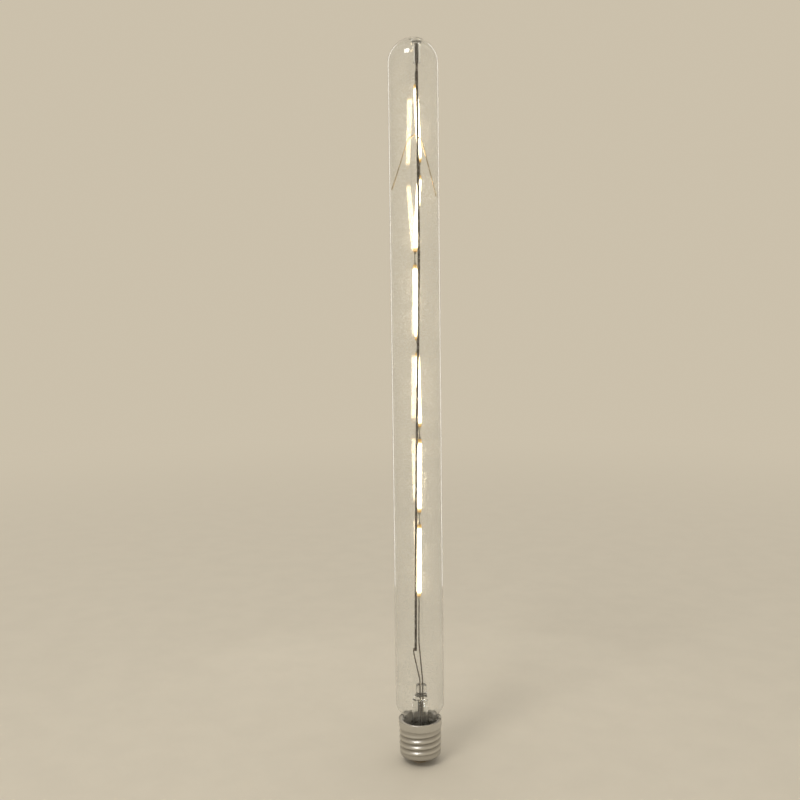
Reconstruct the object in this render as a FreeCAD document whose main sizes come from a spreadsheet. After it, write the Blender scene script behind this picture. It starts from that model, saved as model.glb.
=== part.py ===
"""A long tubular lamp with six light filaments in a chain, on a 27 mm screw cap.

Millimetres, +Z up along the glass tube. The origin is the middle of the cap's bottom contact.
The front of the lamp, from which the support rod hides the filaments, looks towards -Y.
"""
import FreeCAD, Part
import math
import os

import Sketcher

doc = FreeCAD.newDocument("tubular_lamp")

# Sizes that can each be set by itself, in millimetres, degrees or turns
SIZES = [
    ("tube_diameter", 30.0, "glass tube, outside"),
    ("tube_wall", 0.8, "glass tube, wall"),
    ("shoulder_height", 9.0, "from the neck to the full width of the tube"),
    ("shoulder_start", 0.8, "from the cap's rim to the shoulder"),
    ("top_space", 22.6, "from the chain's top joint to the tip of the dome"),
    ("nipple_diameter", 4.3, "inner glass nipple, straight part"),
    ("nipple_root", 7.4, "inner glass nipple where it leaves the dome"),
    ("nipple_cone", 6.0, "length of the nipple's conical part"),
    ("nipple_clear", 7.3, "from the chain's top joint up to the nipple"),
    ("nipple_roof", 2.5, "glass left over the rod's tip"),
    ("rod_diameter", 1.5, "support rod"),
    ("rod_forward", 1.2, "support rod, in front of the tube's axis"),
    ("rod_fit", 0.05, "gap between the rod and its bore in the glass"),
    ("chain_back", 1.8, "filaments, behind the tube's axis"),
    ("filament_length", 45.0, "coated length of one filament"),
    ("filament_gap", 7.4, "between the coatings of two filaments"),
    ("filament_width", 1.9, "coating, side to side"),
    ("filament_depth", 1.6, "coating, front to back"),
    ("filament_edge", 0.4, "rounding at the coating's ends"),
    ("crimp_length", 1.5, "metal crimp at a filament's end"),
    ("crimp_width", 1.3, "metal crimp, side to side"),
    ("crimp_depth", 0.9, "metal crimp, front to back"),
    ("tail_width", 0.6, "flat tail of a crimp"),
    ("tail_thickness", 0.25, "flat tail of a crimp"),
    ("tail_lap", 3.0, "how far two tails lie over each other"),
    ("link_diameter", 0.7, "wires at the two ends of the chain"),
    ("link_rise", 3.4, "from the chain's top joint to the rod"),
    ("link_straight", 7.0, "straight end of the bottom wire above its weld"),
    ("spring_diameter", 0.7, "centring spring, wire"),
    ("spring_drop", 32.0, "from the chain's top joint to the spring's crown"),
    ("spring_left_height", 33.2, "from the crown to the left foot"),
    ("spring_right_height", 36.4, "from the crown to the right foot"),
    ("spring_left_shoulder", 5.9, "from the rod to the left bend"),
    ("spring_right_shoulder", 3.0, "from the rod to the right bend"),
    ("spring_shoulder_drop", 4.2, "from the crown to the two bends"),
    ("spring_crown_shift", 1.0, "from the rod to the crown, to the left"),
    ("spring_turn", 18.0, "degrees that the spring is turned about the rod"),
    ("lead_diameter", 0.8, "lead-in wires"),
    ("lead_spacing", 1.6, "between the two lead-in wires in the stem"),
    ("lead_across", 0.9, "middle of the two lead-in wires, to the right of the axis"),
    ("lead_forward", 0.6, "lead-in wires, in front of the axis"),
    ("lead_land", 3.0, "length of a lead-in wire on the driver board"),
    ("lead_lap", 3.0, "how far two welded wires lie side by side"),
    ("lead_rise", 2.4, "straight lead-in wire above the stem"),
    ("lead_bend", 10.0, "largest bend radius of the lead-in wires"),
    ("rod_clear", 21.2, "from the stem up to the rod's end"),
    ("link_clear", 27.3, "from the stem up to the end of the chain's bottom wire"),
    ("chain_clear", 50.6, "from the stem up to the chain's bottom joint"),
    ("stem_height", 29.0, "glass stem, from its rim to the top of the pinch"),
    ("stem_diameter", 10.0, "glass stem, straight tube"),
    ("stem_wall", 0.9, "glass stem, wall"),
    ("stem_rim", 1.0, "thickness of the stem's rim"),
    ("flare_height", 9.0, "height of the stem's flare"),
    ("pinch_height", 7.5, "flat pinch at the top of the stem"),
    ("pinch_width", 6.4, "flat pinch, side to side"),
    ("pinch_depth", 4.2, "flat pinch, front to back"),
    ("pinch_edge", 0.9, "rounding of the pinch"),
    ("exhaust_diameter", 2.8, "exhaust tube, outside"),
    ("exhaust_wall", 0.6, "exhaust tube, wall"),
    ("exhaust_back", 2.45, "exhaust tube, behind the axis"),
    ("exhaust_end", 3.0, "from the stem's rim up to the sealed end of the exhaust tube"),
    ("thread_diameter", 26.15, "screw thread, over the crests"),
    ("thread_depth", 0.945, "from crest to root"),
    ("thread_pitch", 3.629, "seven turns to 25.4 mm"),
    ("thread_height", 15.4, "threaded part of the shell"),
    ("thread_fade", 2.7, "height over which the thread runs out at each end"),
    ("shell_wall", 0.35, "sheet of the cap's shell"),
    ("shell_foot", 1.6, "from the shell's lip up to the thread"),
    ("foot_inset", 0.5, "how far the shell's foot is drawn in under the thread's root"),
    ("lip_width", 1.6, "inward lip that holds the insulator"),
    ("collar_step", 0.9, "height of the step from the thread to the collar"),
    ("collar_out", 0.225, "how far the collar stands out past the thread"),
    ("collar_height", 4.5, "plain collar at the cap's rim"),
    ("neck_insert", 6.0, "how far the glass neck sits in the cap"),
    ("wire_room", 0.18, "gap on each side of the wire between neck and shell"),
    ("cement_fit", 0.05, "gap between the cement and its neighbours"),
    ("cement_drop", 0.5, "from the cap's rim down to the cement"),
    ("cement_height", 3.4, "ring of cement"),
    ("contact_diameter", 9.6, "bottom contact"),
    ("contact_face", 5.6, "flat of the bottom contact"),
    ("contact_height", 1.1, "bottom contact"),
    ("contact_wall", 0.5, "sheet of the bottom contact"),
    ("solder_height", 0.7, "drop of solder on the cap's rim"),
    ("solder_length", 3.0, "drop of solder, along the rim"),
    ("solder_face", 2.4, "solder in the contact's hole, outside"),
    ("solder_neck", 1.3, "solder in the contact's hole, inside"),
    ("insulator_edge", 0.6, "insulator round the bottom contact"),
    ("insulator_cone", 3.6, "height of the insulator's cone"),
    ("insulator_flange", 1.5, "insulator above the shell's lip"),
    ("insulator_fit", 0.1, "gap between the insulator and the shell"),
    ("insulator_bore", 2.6, "hole for the contact's wire"),
    ("board_width", 15.0, "driver board"),
    ("board_thickness", 1.0, "driver board"),
    ("board_clear", 0.5, "from the driver board to the stem's rim"),
    ("thin_wire", 0.5, "wires from the driver board to the cap"),
    ("rectifier_width", 4.7, "bridge rectifier"),
    ("rectifier_height", 3.9, "bridge rectifier"),
    ("rectifier_depth", 2.4, "bridge rectifier"),
    ("chip_width", 4.9, "current driver chip"),
    ("chip_height", 3.9, "current driver chip"),
    ("chip_depth", 1.5, "current driver chip"),
    ("capacitor_diameter", 6.3, "smoothing capacitor"),
    ("capacitor_length", 11.0, "smoothing capacitor"),
    ("fuse_diameter", 2.4, "fusible resistor"),
    ("fuse_length", 6.2, "fusible resistor"),
    ("part_edge", 1.0, "from a part on the board to the board's edge"),
]

# Where the photograph shows the chain's joints and the rod, to the right of the axis, top to bottom
CHAIN_ACROSS = [1.4, 3.4, -0.1, 0.7, 1.6, 0.9, 0.1]
ROD_ACROSS = [2.2, 2.3, 2.4, 1.2, -0.1, -1.15, -1.9]
ROD_END_ACROSS = -2.3
LINK_END_ACROSS = -0.2
FILAMENTS = len(CHAIN_ACROSS) - 1

# An arc may use this share of each of its two runs
ARC_SHARE = 0.45
# Points that carry the rolled thread's surface: in a full turn, and from crest to crest
THREAD_SECTORS = 36
THREAD_STEPS = 12

sheet = doc.addObject("Spreadsheet::Sheet", "Sizes")
for row, (alias, number, meaning) in enumerate(SIZES, start=1):
    sheet.set(f"A{row}", meaning)
    sheet.set(f"B{row}", str(number))
    sheet.setAlias(f"B{row}", alias)
doc.recompute()


def size(words):
    """Turn words such as 'tube_diameter / 2' into an expression on the sheet's cells."""
    names = {alias for alias, number, meaning in SIZES}
    parts = words.replace("(", " ( ").replace(")", " ) ").split()
    return " ".join("Sizes." + part if part in names else part for part in parts)


def amount(expression):
    """The number that an expression on the sheet stands for."""
    found = sheet.evalExpression(str(expression))
    return float(getattr(found, "Value", found))


def bind(thing, **properties):
    """Bind properties to expressions; a double underscore in a name stands for a dot."""
    for name, expression in properties.items():
        thing.setExpression(name.replace("__", "."), str(expression))


# From one filament to the next
PITCH = size("(filament_length + filament_gap)")

# Heights, from the bottom contact upwards
LIP_BOTTOM = size("contact_height + insulator_cone")
LIP_TOP = f"{LIP_BOTTOM} + Sizes.shell_wall"
INSULATOR_TOP = f"{LIP_TOP} + Sizes.insulator_flange"
THREAD_BOTTOM = f"{LIP_BOTTOM} + Sizes.shell_foot"
THREAD_TOP = f"{THREAD_BOTTOM} + Sizes.thread_height"
COLLAR_BOTTOM = f"{THREAD_TOP} + Sizes.collar_step"
CAP_TOP = f"{COLLAR_BOTTOM} + Sizes.collar_height"
NECK_BOTTOM = f"{CAP_TOP} - Sizes.neck_insert"
STEM_BOTTOM = f"{NECK_BOTTOM} - Sizes.stem_rim"
STEM_TOP = f"{STEM_BOTTOM} + Sizes.stem_height"
PINCH_BOTTOM = f"{STEM_TOP} - Sizes.pinch_height"
BOARD_TOP = f"{STEM_BOTTOM} - Sizes.board_clear"
ROD_BOTTOM = f"{STEM_TOP} + Sizes.rod_clear"
LINK_BOTTOM = f"{STEM_TOP} + Sizes.link_clear"
CHAIN_BOTTOM = f"{STEM_TOP} + Sizes.chain_clear"
CHAIN_TOP = f"{CHAIN_BOTTOM} + {FILAMENTS} * {PITCH}"
DOME_TIP = f"{CHAIN_TOP} + Sizes.top_space"
DOME_MIDDLE = f"{DOME_TIP} - Sizes.tube_diameter / 2"
NIPPLE_BOTTOM = f"{CHAIN_TOP} + Sizes.nipple_clear"
ROD_TOP = f"{DOME_TIP} - Sizes.tube_wall - Sizes.nipple_roof"

# Radii and places across
TUBE_RADIUS = size("tube_diameter / 2")
TUBE_BORE = size("tube_diameter / 2 - tube_wall")
ROOT_RADIUS = size("thread_diameter / 2 - thread_depth")
MEAN_RADIUS = size("thread_diameter / 2 - thread_depth / 2")
ROOT_BORE = size("thread_diameter / 2 - thread_depth - shell_wall")
COLLAR_RADIUS = size("thread_diameter / 2 + collar_out")
NECK_RADIUS = f"{ROOT_BORE} - Sizes.thin_wire - 2 * Sizes.wire_room"
WIRE_RADIUS = f"{NECK_RADIUS} + Sizes.wire_room + Sizes.thin_wire / 2"
FOOT_RADIUS = f"{ROOT_RADIUS} - Sizes.foot_inset"
LIP_RADIUS = f"{ROOT_RADIUS} - Sizes.lip_width"
BOARD_FRONT = size("0 - lead_forward + lead_diameter / 2")


def origin_plane(body, role):
    """One of a body's own origin planes or axes."""
    return next(item for item in body.Origin.OriginFeatures if item.Role == role)


def new_body(label):
    body = doc.addObject("PartDesign::Body", label)
    body.Label = label
    return body


def arc_between(start, end, radius):
    """The short arc from start to end: it turns left for a positive radius, right for a negative one."""
    left_turn = radius > 0
    a, b = (start, end) if left_turn else (end, start)
    across, up = b[0] - a[0], b[1] - a[1]
    span = math.hypot(across, up)
    rise = math.sqrt(max(radius ** 2 - span ** 2 / 4, 0.0))
    centre_across = (a[0] + b[0]) / 2 - up / span * rise
    centre_up = (a[1] + b[1]) / 2 + across / span * rise
    first = math.atan2(a[1] - centre_up, a[0] - centre_across)
    last = math.atan2(b[1] - centre_up, b[0] - centre_across)
    centre = FreeCAD.Vector(centre_across, centre_up, 0)
    circle = Part.Circle(centre, FreeCAD.Vector(0, 0, 1), abs(radius))
    return Part.ArcOfCircle(circle, first, last if last > first else last + 2 * math.pi)


def fix_corner(sketch, edge, end, name, across, up):
    """Hold one corner of a sketch at two expressions."""
    for axis, kind, expression in ((-2, "DistanceX", across), (-1, "DistanceY", up)):
        number = amount(expression)
        if abs(number) < 1e-9:
            sketch.addConstraint(Sketcher.Constraint("PointOnObject", edge, end, axis))
            continue
        held = sketch.addConstraint(Sketcher.Constraint(kind, -1, 1, edge, end, number))
        sketch.renameConstraint(held, name + kind[-1])
        sketch.setExpression("Constraints." + name + kind[-1], str(expression))


def outline(body, name, corners, role="XZ_Plane", lift=None):
    """A closed sketch through corners (across, up); a third value is the radius of the arc that follows."""
    sketch = body.newObject("Sketcher::SketchObject", name)
    sketch.AttachmentSupport = (origin_plane(body, role), [""])
    sketch.MapMode = "FlatFace"
    if lift is not None:
        sketch.setExpression("AttachmentOffset.Base.z", str(lift))
    places = [(amount(corner[0]), amount(corner[1])) for corner in corners]
    ends = []
    for index, corner in enumerate(corners):
        start, end = places[index], places[(index + 1) % len(places)]
        if len(corner) == 3:
            radius = amount(corner[2])
            edge = sketch.addGeometry(arc_between(start, end, radius), False)
            ends.append((edge, 1, 2) if radius > 0 else (edge, 2, 1))
        else:
            line = Part.LineSegment(FreeCAD.Vector(*start, 0), FreeCAD.Vector(*end, 0))
            ends.append((sketch.addGeometry(line, False), 1, 2))
    for index, (edge, first, last) in enumerate(ends):
        following = ends[(index + 1) % len(ends)]
        sketch.addConstraint(Sketcher.Constraint("Coincident", edge, last, following[0], following[1]))
        fix_corner(sketch, edge, first, f"c{index}", corners[index][0], corners[index][1])
    for index, corner in enumerate(corners):
        if len(corner) == 3:
            radius = abs(amount(corner[2]))
            held = sketch.addConstraint(Sketcher.Constraint("Radius", ends[index][0], radius))
            sketch.renameConstraint(held, f"r{index}")
            sketch.setExpression(f"Constraints.r{index}", f"abs({corner[2]})")
    return sketch


def ring_sketch(body, name, radius, across, up, lift):
    """A circle on the body's XY plane, lifted to a height."""
    sketch = body.newObject("Sketcher::SketchObject", name)
    sketch.AttachmentSupport = (origin_plane(body, "XY_Plane"), [""])
    sketch.MapMode = "FlatFace"
    sketch.setExpression("AttachmentOffset.Base.z", str(lift))
    centre = FreeCAD.Vector(amount(across), amount(up), 0)
    circle = sketch.addGeometry(Part.Circle(centre, FreeCAD.Vector(0, 0, 1), amount(radius)), False)
    fix_corner(sketch, circle, 3, "centre", across, up)
    held = sketch.addConstraint(Sketcher.Constraint("Radius", circle, amount(radius)))
    sketch.renameConstraint(held, "radius")
    sketch.setExpression("Constraints.radius", str(radius))
    return sketch


def turn(body, sketch, name):
    """Turn an outline once round the lamp's axis."""
    turned = body.newObject("PartDesign::Revolution", name)
    turned.Profile = sketch
    turned.ReferenceAxis = (sketch, ["V_Axis"])
    turned.Angle = 360
    return turned


def pad(body, sketch, name, length):
    """Raise a sketch upwards."""
    padded = body.newObject("PartDesign::Pad", name)
    padded.Profile = sketch
    bind(padded, Length=length)
    return padded


def bore(body, sketch, name, depth):
    """Cut a sketch upwards out of a body, and check that it took material away."""
    doc.recompute()
    before = body.Shape.Volume
    hole = body.newObject("PartDesign::Pocket", name)
    hole.Profile = sketch
    hole.Reversed = True
    bind(hole, Length=depth)
    doc.recompute()
    if body.Shape.Volume >= before:
        raise RuntimeError(name + " cuts nothing")
    return hole


def end_edges(shape, low, high):
    """Names of the edges that lie whole in one of two horizontal planes."""
    names = []
    for index, edge in enumerate(shape.Edges, start=1):
        box = edge.BoundBox
        if box.ZLength < 1e-6 and min(abs(box.ZMin - low), abs(box.ZMin - high)) < 1e-6:
            names.append(f"Edge{index}")
    return names


def part_box(name, width, depth, height, across, back, up):
    """A box by the expressions of its size and of its lower left front corner."""
    box = doc.addObject("Part::Box", name)
    bind(box, Length=width, Width=depth, Height=height)
    bind(box, Placement__Base__x=across, Placement__Base__y=back, Placement__Base__z=up)
    return box


def part_rod(name, radius, height, across, back, up):
    """An upright cylinder by the expressions of its size and of its foot."""
    rod = doc.addObject("Part::Cylinder", name)
    bind(rod, Radius=radius, Height=height)
    bind(rod, Placement__Base__x=across, Placement__Base__y=back, Placement__Base__z=up)
    return rod


def joined(kind, label, base, tool):
    """A boolean of two objects, with a name of its own."""
    result = doc.addObject("Part::" + kind, label)
    result.Label = label
    result.Base = base
    result.Tool = tool
    return result


def bent_wire(label, points, diameter, tight=None):
    """A round wire along straight runs that tangent arcs join, each as large as its two runs allow."""
    corners = [FreeCAD.Vector(*point) for point in points]
    edges, at = [], corners[0]
    for before, corner, after in zip(corners, corners[1:], corners[2:]):
        inward, outward = before - corner, after - corner
        half_turn = (math.pi - inward.getAngle(outward)) / 2
        if half_turn < 1e-4:
            continue
        reach = ARC_SHARE * min(inward.Length, outward.Length)
        if tight is not None:
            reach = min(reach, tight * math.tan(half_turn))
        radius = reach / math.tan(half_turn)
        start = corner + inward.normalize() * reach
        end = corner + outward.normalize() * reach
        bulge = (inward + outward).normalize() * (radius / math.cos(half_turn) - radius)
        edges.append(Part.LineSegment(at, start).toShape())
        edges.append(Part.Arc(start, corner + bulge, end).toShape())
        at = end
    edges.append(Part.LineSegment(at, corners[-1]).toShape())
    path = Part.Wire(edges)
    direction = corners[1] - corners[0]
    section = Part.Wire([Part.makeCircle(diameter / 2, corners[0], direction)])
    wire = doc.addObject("Part::Feature", label)
    wire.Label = label
    wire.Shape = path.makePipeShell([section], True, True)
    expected = math.pi * diameter ** 2 / 4 * path.Length
    if abs(wire.Shape.Volume - expected) > 0.01 * expected:
        raise RuntimeError(label + " isn't as long and thick as its path")
    return wire


def shoulder_offset(side):
    """The corner in the middle of the shoulder's two arcs, outside (0) or inside (1) the wall."""
    rise = size("shoulder_height")
    gain = f"({TUBE_RADIUS} - ({NECK_RADIUS}))"
    radius = f"(({rise} ^ 2 + {gain} ^ 2) / (4 * {gain}))"
    shift = f"{side} * Sizes.tube_wall / {radius}"
    across = f"({TUBE_RADIUS} + {NECK_RADIUS}) / 2 + ({gain} / 2 - {radius}) * {shift}"
    up = f"{CAP_TOP} + Sizes.shoulder_start + {rise} / 2 + {rise} / 2 * {shift}"
    return across, up, radius


def glass_tube():
    """The blown tube: neck, shoulder, straight wall, round dome and the nipple that holds the rod."""
    body = new_body("tube_blank")
    start = f"{CAP_TOP} + Sizes.shoulder_start"
    full = f"{start} + Sizes.shoulder_height"
    neck_bore = f"{NECK_RADIUS} - Sizes.tube_wall"
    out_across, out_up, radius = shoulder_offset(0)
    in_across, in_up, radius = shoulder_offset(1)
    corners = [
        (NECK_RADIUS, NECK_BOTTOM),
        (NECK_RADIUS, start, f"-{radius}"),
        (out_across, out_up, radius),
        (TUBE_RADIUS, full),
        (TUBE_RADIUS, DOME_MIDDLE, TUBE_RADIUS),
        ("0", DOME_TIP),
        ("0", f"{DOME_TIP} - Sizes.tube_wall", f"-({TUBE_BORE})"),
        (TUBE_BORE, DOME_MIDDLE),
        (TUBE_BORE, full, f"-({radius} - Sizes.tube_wall)"),
        (in_across, in_up, f"{radius} + Sizes.tube_wall"),
        (neck_bore, start),
        (neck_bore, NECK_BOTTOM),
    ]
    turn(body, outline(body, "tube_outline", corners), "tube_turned")

    nipple = new_body("nipple_blank")
    narrow = size("nipple_diameter / 2")
    wide = size("nipple_root / 2")
    bend = f"{DOME_TIP} - Sizes.tube_wall - Sizes.nipple_cone"
    corners = [
        ("0", NIPPLE_BOTTOM),
        (f"{narrow} / 2", NIPPLE_BOTTOM, f"{narrow} / 2"),
        (narrow, f"{NIPPLE_BOTTOM} + {narrow} / 2"),
        (narrow, bend),
        (wide, DOME_TIP),
        ("0", DOME_TIP),
    ]
    turn(nipple, outline(nipple, "nipple_outline", corners), "nipple_turned")
    nipple.Placement.Base.x = ROD_ACROSS[0]
    bind(nipple, Placement__Base__y="-Sizes.rod_forward")

    cover = doc.addObject("Part::Sphere", "dome_middle_of_wall")
    bind(cover, Radius=f"({TUBE_RADIUS} + {TUBE_BORE}) / 2", Placement__Base__z=DOME_MIDDLE)
    trimmed = joined("Common", "nipple_under_dome", nipple, cover)
    blown = joined("Fuse", "tube_with_nipple", body, trimmed)
    bore_radius = size("rod_diameter / 2 + rod_fit")
    depth = f"{ROD_TOP} + Sizes.rod_fit - ({NIPPLE_BOTTOM}) + 1"
    hole = part_rod("nipple_bore", bore_radius, depth, ROD_ACROSS[0], "-Sizes.rod_forward",
                    f"{NIPPLE_BOTTOM} - 1")
    return joined("Cut", "glass_tube", blown, hole)


def glass_stem():
    """The stem: a flare that closes the neck, a tube, a flat pinch round the wires, and the exhaust tube."""
    body = new_body("glass_stem")
    outer = size("stem_diameter / 2")
    inner = size("stem_diameter / 2 - stem_wall")
    rim_top = f"{STEM_BOTTOM} + Sizes.stem_rim"
    flare_top = f"{STEM_BOTTOM} + Sizes.flare_height"
    gain = f"({NECK_RADIUS} - Sizes.tube_wall - {outer})"
    rise = "(Sizes.flare_height - Sizes.stem_rim)"
    outer_curve = f"({gain} ^ 2 + {rise} ^ 2) / (2 * {gain})"
    rim_inner = f"{outer} + {gain} - Sizes.stem_wall"
    inner_gain = f"({rim_inner} - {inner})"
    inner_curve = f"({inner_gain} ^ 2 + Sizes.flare_height ^ 2) / (2 * {inner_gain})"
    head = f"{PINCH_BOTTOM} + Sizes.stem_wall"
    corners = [
        (rim_inner, STEM_BOTTOM),
        (NECK_RADIUS, STEM_BOTTOM),
        (NECK_RADIUS, rim_top),
        (f"{outer} + {gain}", rim_top, f"-({outer_curve})"),
        (outer, flare_top),
        (outer, PINCH_BOTTOM, size("stem_wall")),
        (f"{outer} - Sizes.stem_wall", head),
        ("0", head),
        ("0", PINCH_BOTTOM),
        (inner, PINCH_BOTTOM),
        (inner, flare_top, inner_curve),
    ]
    turn(body, outline(body, "stem_outline", corners), "stem_turned")

    half_width = size("pinch_width / 2")
    half_depth = size("pinch_depth / 2")
    edge = size("pinch_edge")
    left = f"Sizes.lead_across - {half_width}"
    right = f"Sizes.lead_across + {half_width}"
    front = f"-Sizes.lead_forward - {half_depth}"
    back = f"-Sizes.lead_forward + {half_depth}"
    corners = [
        (f"{left} + {edge}", front),
        (f"{right} - {edge}", front, edge),
        (right, f"{front} + {edge}"),
        (right, f"{back} - {edge}", edge),
        (f"{right} - {edge}", back),
        (f"{left} + {edge}", back, edge),
        (left, f"{back} - {edge}"),
        (left, f"{front} + {edge}", edge),
    ]
    pinch = outline(body, "pinch_outline", corners, "XY_Plane", PINCH_BOTTOM)
    pad(body, pinch, "pinch_raised", size("pinch_height"))

    foot = f"{STEM_BOTTOM} + Sizes.exhaust_end"
    radius = size("exhaust_diameter / 2")
    tube = ring_sketch(body, "exhaust_ring", radius, "0", "Sizes.exhaust_back", foot)
    pad(body, tube, "exhaust_tube", f"{PINCH_BOTTOM} + Sizes.stem_wall / 2 - ({foot})")
    hollow = f"{foot} + 2 * Sizes.exhaust_wall"
    inside = ring_sketch(body, "exhaust_hollow", f"{radius} - Sizes.exhaust_wall", "0",
                         "Sizes.exhaust_back", hollow)
    bore(body, inside, "exhaust_bore", f"{PINCH_BOTTOM} + 2 * Sizes.stem_wall - ({hollow})")
    for side, sign in (("left", "-"), ("right", "+")):
        across = f"Sizes.lead_across {sign} Sizes.lead_spacing / 2"
        ring = ring_sketch(body, side + "_lead_ring", size("lead_diameter / 2 + rod_fit"), across,
                           "-Sizes.lead_forward", f"{PINCH_BOTTOM} - Sizes.stem_wall")
        bore(body, ring, side + "_lead_bore", size("pinch_height + 2 * stem_wall"))
    return body


def chain_joint(index):
    """Where two neighbouring filaments are joined: across and up, as numbers."""
    return CHAIN_ACROSS[index], amount(f"{CHAIN_BOTTOM} + {FILAMENTS - index} * {PITCH}")


def place_on_chain(piece, index):
    """Stand a piece that is built round the origin on the line of one filament."""
    top, bottom = CHAIN_ACROSS[index], CHAIN_ACROSS[index + 1]
    piece.Placement = FreeCAD.Placement(FreeCAD.Vector(), FreeCAD.Rotation(FreeCAD.Vector(0, 1, 0), 1))
    bind(piece, Placement__Base__x=f"({top} + {bottom}) / 2", Placement__Base__y="Sizes.chain_back",
         Placement__Base__z=f"{CHAIN_BOTTOM} + {FILAMENTS - index - 0.5} * {PITCH}",
         Placement__Rotation__Angle=f"atan(({top} - {bottom}) / {PITCH})")


def filament(index):
    """One coated filament: a flat oval bar with softly rounded ends."""
    body = new_body(f"filament_{index + 1}")
    half_width = size("filament_width / 2")
    half_depth = size("filament_depth / 2")
    flat = f"{half_width} - {half_depth}"
    lift = size("0 - filament_length / 2")
    corners = [
        (f"-({flat})", f"-({half_depth})"),
        (flat, f"-({half_depth})", half_depth),
        (half_width, "0", half_depth),
        (flat, half_depth),
        (f"-({flat})", half_depth, half_depth),
        (f"-({half_width})", "0", half_depth),
    ]
    section = outline(body, "section", corners, "XY_Plane", lift)
    bar = pad(body, section, "bar", size("filament_length"))
    doc.recompute()
    rounded = body.newObject("PartDesign::Fillet", "rounded_ends")
    half = amount(size("filament_length / 2"))
    rounded.Base = (bar, end_edges(bar.Shape, -half, half))
    bind(rounded, Radius=size("filament_edge"))
    place_on_chain(body, index)


def filament_end(index, side):
    """The crimp at a filament's upper (+1) or lower (-1) end, with its flat tail."""
    word = "upper" if side > 0 else "lower"
    label = f"filament_{index + 1}_{word}_pin"
    run = f"sqrt({PITCH} ^ 2 + ({CHAIN_ACROSS[index] - CHAIN_ACROSS[index + 1]}) ^ 2)"
    crimp_start = size("filament_length / 2")
    tail_start = f"{crimp_start} + Sizes.crimp_length"
    tail_length = f"{run} / 2 + Sizes.tail_lap / 2 - ({tail_start})"
    crimp_foot = crimp_start if side > 0 else f"-({tail_start})"
    tail_foot = tail_start if side > 0 else f"-({tail_start}) - ({tail_length})"
    tail_back = "0" if side > 0 else "-Sizes.tail_thickness"
    crimp = part_box(label + "_crimp", size("crimp_width"), size("crimp_depth"), size("crimp_length"),
                     size("0 - crimp_width / 2"), size("0 - crimp_depth / 2"), crimp_foot)
    tail = part_box(label + "_tail", size("tail_width"), size("tail_thickness"), tail_length,
                    size("0 - tail_width / 2"), tail_back, tail_foot)
    place_on_chain(joined("Fuse", label, crimp, tail), index)


def support_rod():
    """The rod that holds the chain: sealed in the nipple, gently leaning, free at its lower end."""
    forward = -amount("Sizes.rod_forward")
    points = [(ROD_ACROSS[0], forward, amount(ROD_TOP))]
    for index in range(1, FILAMENTS + 1):
        points.append((ROD_ACROSS[index], forward, chain_joint(index)[1]))
    points[1:1] = [(ROD_ACROSS[0], forward, amount(CHAIN_TOP))]
    points.append((ROD_END_ACROSS, forward, amount(ROD_BOTTOM)))
    bent_wire("support_rod", points, amount("Sizes.rod_diameter"))


def rod_across(height):
    """How far right of the axis the rod stands at a height between its joints."""
    for index in range(FILAMENTS):
        upper, lower = chain_joint(index)[1], chain_joint(index + 1)[1]
        if height >= lower:
            share = min(max((upper - height) / (upper - lower), 0.0), 1.0)
            return ROD_ACROSS[index] + share * (ROD_ACROSS[index + 1] - ROD_ACROSS[index])
    return ROD_END_ACROSS


def centring_spring():
    """A springy wire over the rod whose two feet press on the inside of the glass."""
    crown = amount(f"{CHAIN_TOP} - Sizes.spring_drop")
    angle = math.radians(amount("Sizes.spring_turn"))
    along = FreeCAD.Vector(math.cos(angle), math.sin(angle), 0)
    backward = FreeCAD.Vector(-math.sin(angle), math.cos(angle), 0)
    stand_off = amount(size("rod_diameter / 2 + spring_diameter / 2 + rod_fit"))
    pivot = FreeCAD.Vector(rod_across(crown), -amount("Sizes.rod_forward"), 0) + backward * stand_off
    foot_radius = amount(f"{TUBE_BORE} - Sizes.spring_diameter / 2 - Sizes.rod_fit")
    lean = pivot.dot(along)
    half = math.sqrt(lean ** 2 - pivot.dot(pivot) + foot_radius ** 2)

    def spot(sideways, drop):
        place = pivot + along * sideways
        return place.x, place.y, crown - drop

    shoulder_drop = amount("Sizes.spring_shoulder_drop")
    points = [
        spot(-lean - half, amount("Sizes.spring_left_height")),
        spot(-amount("Sizes.spring_left_shoulder"), shoulder_drop),
        spot(-amount("Sizes.spring_crown_shift"), 0),
        spot(amount("Sizes.spring_right_shoulder"), shoulder_drop),
        spot(-lean + half, amount("Sizes.spring_right_height")),
    ]
    bent_wire("centring_spring", points, amount("Sizes.spring_diameter"))


def chain_links():
    """The short wire from the first filament to the rod, and the one from the last towards its lead."""
    radius = amount("Sizes.link_diameter") / 2
    back = amount("Sizes.chain_back")
    lap = amount("Sizes.tail_lap") / 2
    stand_off = amount(size("rod_diameter / 2 + rod_fit"))
    across, up = chain_joint(0)
    rise = amount("Sizes.link_rise")
    front = back - radius
    # The link points at the rod's middle, so its end meets the rod squarely.
    sideways = ROD_ACROSS[0] - across
    forward = front + amount("Sizes.rod_forward")
    share = 1 - stand_off / math.hypot(sideways, forward)
    points = [
        (across, front, up - lap),
        (across, front, up + rise),
        (across + share * sideways, front - share * forward, up + rise),
    ]
    bent_wire("top_link", points, 2 * radius, 4 * radius)
    across, up = chain_joint(FILAMENTS)
    low = amount(LINK_BOTTOM)
    front = back - amount("Sizes.tail_thickness") - radius
    points = [
        (across, front, up + lap),
        (across, front, up - lap),
        (LINK_END_ACROSS, front, low + amount("Sizes.link_straight")),
        (LINK_END_ACROSS, front, low - amount("Sizes.lead_lap") / 2),
    ]
    bent_wire("bottom_link", points, 2 * radius)


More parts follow.
